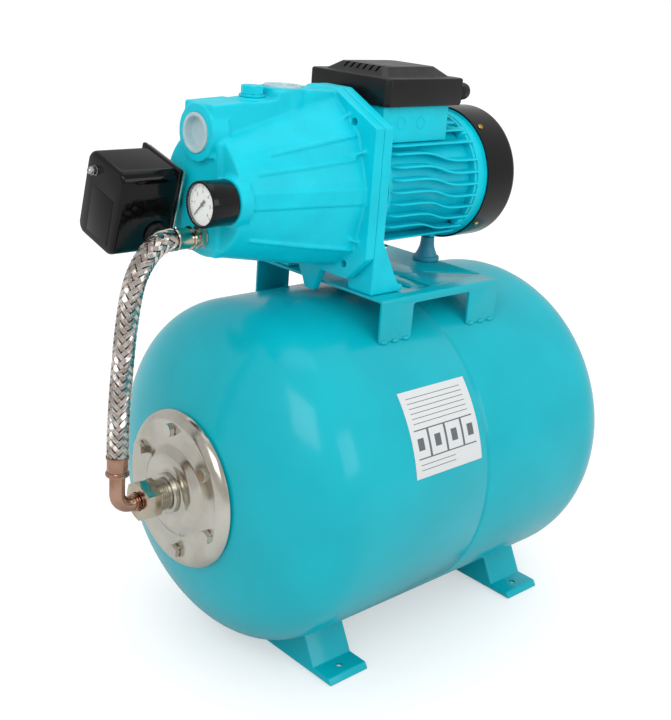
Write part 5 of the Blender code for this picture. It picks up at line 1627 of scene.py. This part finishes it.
    def build(self) -> None:
        """Makes the motor and its bracket."""
        fit(self.bracket(), CAST_ENAMEL, ["motor_bracket"], smooth_to=40)
        fit(self.motor_frame(), MOTOR_ENAMEL, ["motor_frame"], smooth_to=35)
        start = self.frame_x[1] + 0.0003
        shield = spun("rear_shield_casting",
                      [(start, 0.0163), (start, 0.0672), (start + 0.0008, 0.0680), (0.0760, 0.0680),
                       (0.0765, 0.0699), (0.0830, 0.0699), (0.0830, 0.0670), (0.0770, 0.0660),
                       (0.0770, 0.0240), (0.0800, 0.0230), (0.0800, 0.0100), (0.0776, 0.0100),
                       (0.0776, 0.0163)],
                      at=self.at, steps=120)
        boss = brick("foot_boss", (0.0672, -0.0080, 0.4235), (0.0765, 0.0080, 0.4340), 0.0006)
        carve(shield, [boss], "UNION")
        fit(shield, MOTOR_ENAMEL, ["rear_end_shield"])
        fit(self.cowl(), BLACK_ENAMEL, ["fan_cover"], smooth_to=35)
        self.cowl_screws()
        foot = spun("rear_rubber_foot",
                    [(0.3962, 0.0), (0.3962, 0.0138), (0.3972, 0.0148), (0.4000, 0.0148), (0.4012, 0.0140),
                     (0.4020, 0.0122), (0.4045, 0.0112), (0.4080, 0.0096), (0.4115, 0.0084), (0.4160, 0.0077),
                     (0.4215, 0.0074), (0.4225, 0.0072), (0.4225, 0.0)], Axis.Z, (self.foot_x, 0, 0), 72)
        fit(foot, BLUE_RUBBER, ["rear_foot"])
        bolt = bolt_head("bracket_bolt", self.bracket_x[1] + 0.0003, 1, (0, 0, 0))
        for number, (y, z) in enumerate(BOLT_SPOTS, start=1):
            copy = moved(bolt, Vector((0, y, z)), f"bracket_bolt_{number}")
            fit(copy, ZINC, [f"casing_bolt_{number}"], smooth_to=24)
        bpy.data.objects.remove(bolt)


@dataclass
class TerminalBox:
    """The moulded lid over the motor's terminals, and the cord's gland."""

    x: Pair = (-0.070, 0.041)
    y: Pair = (-0.058, 0.058)
    base: float = 0.576
    shoulder: float = 0.603
    top: float = 0.612
    corner: float = 0.0045
    gland_at: Pair = (-0.044, 0.5885)

    def rectangle(self, inset_x: float, inset_y: float, z: float, corner: float) -> list[Vector]:
        """A rectangle with its corners cut off, at a height.

        Args:
            inset_x: how far in from the ends.
            inset_y: how far in from the sides.
            z: its height.
            corner: how far the corners are cut.

        Returns:
            Eight corners.
        """
        x_a, x_b = self.x[0] + inset_x + SEAM, self.x[1] - inset_x + SEAM
        y_a, y_b = self.y[0] + inset_y, self.y[1] - inset_y
        return [Vector((x, y, z)) for x, y in ((x_a + corner, y_a), (x_b - corner, y_a), (x_b, y_a + corner),
                                               (x_b, y_b - corner), (x_b - corner, y_b), (x_a + corner, y_b),
                                               (x_a, y_b - corner), (x_a, y_a + corner))]

    def lid(self) -> bpy.types.Object:
        """The lid: square skirt, raised top with sloping sides and finger grooves."""
        corner = self.corner
        levels = [(0.0010, 0.0010, self.base, corner), (0.0, 0.0, self.base + 0.0028, corner),
                  (0.0, 0.0, self.shoulder - 0.001, corner), (0.0012, 0.0012, self.shoulder, corner),
                  (0.0080, 0.0130, self.shoulder + 0.0003, corner), (0.0180, 0.0260, self.top, corner)]
        piece = lofted("terminal_lid", [self.rectangle(*level) for level in levels])
        soften(piece, 0.0009, 3, 20)
        hollow = brick("lid_hollow", (self.x[0] + 0.003, self.y[0] + 0.003, 0.5700),
                       (self.x[1] - 0.003, self.y[1] - 0.003, 0.6000))
        hole = rod("gland_hole", 0.0073, (0.02, 0.06), at=(0, *self.gland_at))
        grooves = [brick("finger_groove", (self.x[0] + 0.0095, y - 0.0016, self.shoulder + 0.0035),
                         (self.x[0] + 0.0260, y + 0.0016, self.top + 0.004), 0.0012)
                   for y in (-0.026, -0.017, -0.008, 0.001, 0.010, 0.019)]
        return carve(piece, [hollow, hole, *grooves])

    def gland(self) -> bpy.types.Object:
        """The gland: nut, dome and cord entry."""
        at = (0, *self.gland_at)
        nut = hexagon("cord_gland", 0.020, (self.x[1] + 0.0003, 0.0472), at, 0.0008)
        dome = spun("gland_dome", [(0.0470, 0.0), (0.0470, 0.0090), (0.0545, 0.0086), (0.0570, 0.0076),
                                   (0.0580, 0.0062), (0.0580, 0.0)], at=at, steps=64)
        throat = rod("gland_throat", 0.0070, (0.0345, 0.0420), at=at)
        carve(nut, [dome, throat], "UNION")
        return carve(nut, [rod("cord_entry", 0.0040, (0.03, 0.07), at=at)])

    def build(self) -> None:
        """Makes the lid and the gland."""
        fit(self.lid(), ABS, ["terminal_box_lid"], smooth_to=28)
        fit(self.gland(), ABS, ["cable_gland"], smooth_to=26)


# ---------------------------------------------------------------- gauge and switch


@dataclass
class PressureGauge:
    """A back-entry gauge: case, dial with generic divisions, needle and lens."""

    y: float = -0.044
    z: float = 0.496
    back_x: float = -0.248
    front_x: float = -0.2772
    radius: float = 0.021
    dial_x: float = -0.2741
    zero: float = 225.0  # degrees clockwise from the top, seen from the front
    sweep: float = 270.0
    top_figure: int = 6
    ticks_each: int = 5
    figure_size: float = 0.0042
    figure_circle: float = 0.0112

    @property
    def at(self) -> Point:
        """A point on the gauge's axis."""
        return (0.0, self.y, self.z)

    def on_dial(self, angle: float, radius: float, x: float) -> Vector:
        """A point on the dial.

        Args:
            angle: degrees clockwise from the top, seen from the front.
            radius: distance from the centre.
            x: the station.

        Returns:
            The point.
        """
        turn = math.radians(angle)
        return Vector((x + SEAM, self.y - radius * math.sin(turn), self.z + radius * math.cos(turn)))

    def divisions(self) -> bpy.types.Object:
        """Ticks round the dial: long at each figure, short between, on a fine ring."""
        marks = []
        count = self.top_figure * self.ticks_each
        for i in range(count + 1):
            angle = self.zero + self.sweep * i / count
            inner, half = (0.0152, 0.00014) if i % self.ticks_each else (0.0138, 0.00030)
            tick = brick("tick", (self.dial_x - 0.00018, -half, inner), (self.dial_x + 0.0001, half, 0.0170))
            marks.append(swung(tick, math.radians(angle), self.y, self.z))
        for i in range(self.top_figure + 1):
            angle = self.zero + self.sweep * i / self.top_figure
            deselect()
            bpy.ops.object.text_add()
            figure = bpy.context.object
            figure.data.body = str(i)
            figure.data.size = self.figure_size
            figure.data.align_x = "CENTER"
            figure.data.align_y = "CENTER"
            figure.data.extrude = 0.0001
            bpy.ops.object.convert(target="MESH")
            facing = Matrix(((0, 0, -1), (-1, 0, 0), (0, 1, 0))).to_4x4()
            at = self.on_dial(angle, self.figure_circle, self.dial_x - 0.00005)
            figure.data.transform(Matrix.Translation(at) @ facing)
            marks.append(figure)
        return gather("gauge_divisions", marks)

    def needle(self) -> bpy.types.Object:
        """The needle: fine pointer, broad tail and hub."""
        half = [(0.0014, -0.0055), (0.0009, -0.0010), (0.0006, 0.0030), (0.0003, 0.0145)]
        outline = [*half, *((-y, z) for y, z in reversed(half))]
        blade = extruded("gauge_pointer", outline, (-0.2752, -0.2748))
        hub = spun("needle_hub", [(-0.2756, 0.0), (-0.2756, 0.0012), (-0.2752, 0.0018), (-0.2745, 0.0018),
                                  (-0.2745, 0.0)], steps=32)
        return swung(carve(blade, [hub], "UNION"), math.radians(self.zero), self.y, self.z)

    def build(self) -> None:
        """Makes the gauge."""
        back, front, radius = self.back_x, self.front_x, self.radius
        case = spun("gauge_case_pressing",
                    [(-0.2390, 0.0), (-0.2390, 0.0050), (back, 0.0050), (back, radius - 0.0016),
                     (back - 0.0005, radius - 0.0006), (back - 0.0016, radius - 0.0002),
                     (-0.2700, radius - 0.0003), (-0.2704, radius), (front + 0.0010, radius),
                     (front + 0.0003, radius - 0.0003),
                     (front, radius - 0.0010), (front + 0.0004, 0.0188), (-0.2730, 0.0188), (-0.2730, 0.0)],
                    at=self.at, steps=128)
        fit(case, BLACK_ENAMEL, ["gauge_case"], smooth_to=35)
        dial = spun("gauge_dial_card", [(self.dial_x, 0.0015), (self.dial_x, 0.0184), (-0.2733, 0.0184),
                                        (-0.2733, 0.0015)], at=self.at, steps=96)
        fit(dial, DIAL_CARD, ["gauge_dial"])
        fit(self.divisions(), INK, smooth_to=20)
        fit(self.needle(), INK, ["gauge_needle"], body="needle", smooth_to=30)
        lens = spun("gauge_window", [(-0.2770, 0.0), (-0.2769, 0.0180), (-0.2766, 0.0185), (-0.2760, 0.0185),
                                     (-0.2760, 0.0)], at=self.at, steps=96)
        fit(lens, LENS, ["gauge_lens"])


@dataclass
class PressureSwitch:
    """The pressure switch, leaning beside the gauge: glossy cover, plated base, cap nut and cord ports."""

    centre: Point = (0.0, 0.052, 0.482)
    tilt: float = 15.0  # degrees
    x: Pair = (-0.318, -0.2525)
    width: float = 0.062
    height: float = 0.083
    nut_at: Pair = (0.0143, 0.026)
    nipple_at: Pair = (0.042, 0.487)
    port_x: float = -0.2740
    port_rise: float = -0.020
    sheet: float = 0.0022
    corner: float = 0.011

    def tilted(self, piece: bpy.types.Object) -> bpy.types.Object:
        """Leans a piece over with the switch."""
        return lean(piece, math.radians(self.tilt), Vector((SEAM, self.centre[1], self.centre[2])))

    def outline(self, inset: float) -> list[Pair]:
        """The cover's rounded section, drawn in all round.

        Args:
            inset: how far in.

        Returns:
            The section as (y, z).
        """
        y, z = self.centre[1:]
        corner = self.corner - inset
        wide, high = self.width / 2 - inset, self.height / 2 - inset
        points = []
        for side, rise in ((1, 1), (-1, 1), (-1, -1), (1, -1)):
            for i in range(9):
                turn = math.pi / 16 * i
                across, up = math.cos(turn), math.sin(turn)
                if side * rise < 0:
                    across, up = up, across
                points.append((y + side * (wide - corner * (1 - across)),
                               z + rise * (high - corner * (1 - up))))
        return points

    def cover(self) -> bpy.types.Object:
        """The cover: rounded box with a raised front panel, a lip at its mouth and a round cord port."""
        front, back = self.x
        y, z = self.centre[1:]
        stud_at = (0, y + self.nut_at[0], z + self.nut_at[1])
        port_at = (self.port_x, 0, z + self.port_rise)
        wide, high = self.width / 2, self.height / 2
        piece = extruded("switch_cover_moulding", self.outline(0.0), (front, back - 0.003), edge=0.0042)
        panel = brick("front_panel", (front - 0.0005, y - wide + 0.010, z - high + 0.008),
                      (front + 0.0035, y + wide - 0.016, z + high - 0.030), 0.0006)
        lip = brick("cover_lip", (back - 0.0080, y - wide - 0.0015, z - high - 0.0015),
                    (back - 0.0032, y + wide + 0.0015, z + high + 0.0015), 0.0018)
        port = rod("port_ring", 0.0125, (y - wide - 0.0022, y - wide + 0.004), Axis.Y, port_at, edge=0.0006)
        boss = rod("stud_boss", 0.0056, (front - 0.0002, front + 0.004), at=stud_at, edge=0.0005)
        carve(piece, [panel, lip, port, boss], "UNION")
        hollow = extruded("cover_hollow", self.outline(self.sheet), (front + self.sheet, back + 0.01))
        stud = rod("stud_hole", 0.0034, (-0.33, -0.31), at=stud_at)
        entry = rod("port_hole", 0.0088, (y - wide - 0.010, y - wide + 0.004), Axis.Y, port_at)
        return self.tilted(carve(piece, [hollow, stud, entry]))

    def grommets(self) -> None:
        """Rubber grommets in the cord ports."""
        y, z = self.centre[1:]
        near = y - self.width / 2
        grommet = spun("cord_grommet_side",
                       [(near - 0.0018, 0.0), (near - 0.0018, 0.0050), (near - 0.0008, 0.0060),
                        (near - 0.0026, 0.0072), (near - 0.0026, 0.0092), (near - 0.0020, 0.0098),
                        (near + 0.0010, 0.0086), (near + 0.0010, 0.0)],
                       Axis.Y, (self.port_x, 0, z + self.port_rise), 64)
        fit(self.tilted(grommet), RUBBER)
        low = z - self.height / 2
        lower = spun("cord_grommet_bottom",
                     [(low + 0.002, 0.0), (low + 0.002, 0.0080), (low - 0.0006, 0.0085),
                      (low - 0.0030, 0.0070), (low - 0.0036, 0.0040), (low - 0.0036, 0.0)],
                     Axis.Z, (-0.2780, y - 0.012, 0), 64)
        fit(self.tilted(lower), RUBBER)

    def base(self) -> bpy.types.Object:
        """The plated base with its stud, diaphragm can and nipple."""
        back = self.x[1]
        y, z = self.centre[1:]
        wide, high = self.width / 2 - 0.0005, self.height / 2 - 0.0005
        plate = brick("switch_base_plate", (back - 0.0024, y - wide, z - high),
                      (back + 0.0005, y + wide, z + high), 0.0008)
        stud = rod("stud", 0.0030, (-0.3215, back), at=(0, y + self.nut_at[0], z + self.nut_at[1]))
        block = brick("contact_block", (-0.2780, y + 0.0120, z - 0.0330),
                      (back, y + 0.0270, z + 0.0120), 0.0008)
        carve(plate, [stud, block], "UNION")
        self.tilted(plate)
        can = rod("diaphragm_can", 0.0150, (back - 0.0002, -0.2430), at=(0, *self.nipple_at), edge=0.0008)
        nipple = rod("switch_nipple", 0.0060, (back, -0.2340), at=(0, *self.nipple_at))
        return carve(plate, [can, nipple], "UNION")

    def cap_nut(self) -> bpy.types.Object:
        """The domed cap nut on the stud."""
        front = self.x[0]
        y, z = self.centre[1] + self.nut_at[0], self.centre[2] + self.nut_at[1]
        nut = hexagon("switch_dome_nut", 0.0080, (-0.3228, front - 0.0010), (0, y, z), 0.0006)
        flange = rod("nut_flange", 0.0046, (front - 0.0012, front - 0.0003), at=(0, y, z), edge=0.0002)
        dome = spun("nut_dome", [(-0.3226, 0.0), (-0.3226, 0.0035), (-0.3240, 0.0034), (-0.3256, 0.0027),
                                 (-0.3266, 0.0016), (-0.3270, 0.0)], at=(0, y, z), steps=40)
        carve(nut, [flange, dome], "UNION")
        return self.tilted(carve(nut, [rod("nut_thread", 0.0033, (-0.3222, -0.3100), at=(0, y, z))]))

    def build(self) -> None:
        """Makes the switch."""
        fit(self.cover(), PHENOLIC, ["switch_cover"], smooth_to=30)
        self.grommets()
        fit(self.base(), ZINC, ["switch_base"])
        fit(self.cap_nut(), GROUND_STEEL, ["switch_cap_nut"], smooth_to=26)


# ---------------------------------------------------------------- works that stay as they are


@dataclass
class Works:
    """Sub-parts whose shape in the frame is right, most of them hidden inside the set.

    The finishes name only the sub-parts that don't look as their slot does.
    """

    finishes: dict[str, Finish] = field(default_factory=lambda: {"seal_head": CARBON})

    def build(self) -> None:
        """Finishes them, and gives every other node of the frame the finish of its slot too."""
        by_slot = {finish.slot: finish for finish in (
            TANK_ENAMEL, CAST_ENAMEL, MOTOR_ENAMEL, ZINC, NICKEL, COPPER_TONE, WIRE, ABS, PHENOLIC,
            BLACK_ENAMEL, BLUE_RUBBER, POLYETHYLENE, FILLED_NYLON, GROUND_STEEL, LAMINATIONS, COPPER_WIRE,
            CERAMIC, RUBBER, DIAL_CARD, INK, LENS)}
        slots = {row["node"]: row["material_slot"] for row in frame["record"]["subparts"]}
        for node, piece in frame["nodes"].items():
            finish = self.finishes.get(node) or by_slot[slots[node]]
            piece.data.materials.clear()
            piece.data.materials.append(finish.material())
            LOG.info("%s: kept, finished as %s", node, finish.name)


# ---------------------------------------------------------------- studio


@dataclass
class Studio:
    """Pale floor, soft lights and the camera."""

    camera_at: Point = (-0.82235, -0.8225, 0.6982)
    yaw: float = -43.9  # degrees, from +Y
    pitch: float = -18.4
    roll: float = 4.4
    lens: float = 55.985
    shift_y: float = -0.0235
    room_dimming: float = 0.42  # how much darker the room is to a reflection
    floor_grey: float = 0.62
    floor_lift: float = 0.46  # light the floor adds of its own, to the camera alone
    lights: tuple[tuple[str, Point, Point, Pair, float], ...] = (
        ("key", (-1.9, -1.3, 1.9), (0.0, 0.0, 0.35), (1.4, 1.4), 16.0),
        ("front", (0.5, -2.6, 1.3), (0.05, 0.0, 0.30), (1.6, 1.2), 11.0),
        ("top", (0.1, 0.4, 2.5), (0.0, 0.0, 0.4), (2.0, 2.0), 8.0))

    def camera(self) -> None:
        """Sets the camera at the view wanted."""
        yaw, pitch, roll = (math.radians(a) for a in (self.yaw, self.pitch, self.roll))
        ahead = Vector((-math.sin(yaw) * math.cos(pitch), math.cos(yaw) * math.cos(pitch), math.sin(pitch)))
        right = Vector((math.cos(yaw), math.sin(yaw), 0))
        up = right.cross(ahead)
        right_rolled = math.cos(roll) * right + math.sin(roll) * up
        up_rolled = -math.sin(roll) * right + math.cos(roll) * up
        data = bpy.data.cameras.new("camera")
        data.lens = self.lens
        data.sensor_width = 36.0
        data.shift_y = self.shift_y
        data.clip_start = 0.01
        made = shown("camera", data)
        turn = Matrix((right_rolled, up_rolled, -ahead)).transposed().to_4x4()
        made.matrix_world = Matrix.Translation(self.camera_at) @ turn
        bpy.context.scene.camera = made

    def lamps(self) -> None:
        """Hangs the soft boxes and fills the room with pale light."""
        for name, at, target, size, power in self.lights:
            data = bpy.data.lights.new(name, "AREA")
            data.shape = "RECTANGLE"
            data.size, data.size_y = size
            data.energy = power
            made = shown(name, data)
            made.location = at
            made.rotation_euler = (Vector(target) - Vector(at)).to_track_quat("-Z", "Y").to_euler()
        room = bpy.data.worlds.new("room")
        room.use_nodes = True
        tree = room.node_tree
        backdrop = tree.nodes["Background"]
        backdrop.inputs["Color"].default_value = (1.0, 1.0, 1.0, 1.0)
        glossy = add_node(tree, "LightPath").outputs["Is Glossy Ray"]
        dim = add_node(tree, "Math", {"operation": "MULTIPLY_ADD", 1: -self.room_dimming, 2: 1.0},
                       {0: glossy})
        tree.links.new(dim.outputs[0], backdrop.inputs["Strength"])
        bpy.context.scene.world = room
        bpy.context.scene.view_settings.view_transform = "Standard"

    def floor(self) -> None:
        """Lays the floor."""
        deselect()
        bpy.ops.mesh.primitive_plane_add(size=30.0, location=(0, 0, -0.0005))
        piece = fresh("studio_floor")
        paint = bpy.data.materials.new("pale_floor")
        paint.use_nodes = True
        shader = paint.node_tree.nodes["Principled BSDF"]
        shader.inputs["Base Color"].default_value = (*[self.floor_grey] * 3, 1.0)
        shader.inputs["Roughness"].default_value = 0.7
        shader.inputs["Emission Color"].default_value = (1.0, 1.0, 1.0, 1.0)
        seen = add_node(paint.node_tree, "LightPath").outputs["Is Camera Ray"]
        lift = add_node(paint.node_tree, "Math", {"operation": "MULTIPLY", 1: self.floor_lift}, {0: seen})
        paint.node_tree.links.new(lift.outputs[0], shader.inputs["Emission Strength"])
        piece.data.materials.append(paint)

    def build(self) -> None:
        """Sets up the studio."""
        self.camera()
        self.lamps()
        self.floor()


def main() -> None:
    """Builds the studio and every sub-assembly."""
    logging.basicConfig(level=logging.INFO, format="%(name)s: %(message)s")
    for assembly in (Studio(), PressureTank(), Counterflange(), Stand(), HoseLine(), PumpCasing(),
                     MotorUnit(), TerminalBox(), PressureGauge(), PressureSwitch(), Works()):
        LOG.info("building %s", type(assembly).__name__)
        assembly.build()


if __name__ == "__main__":
    main()
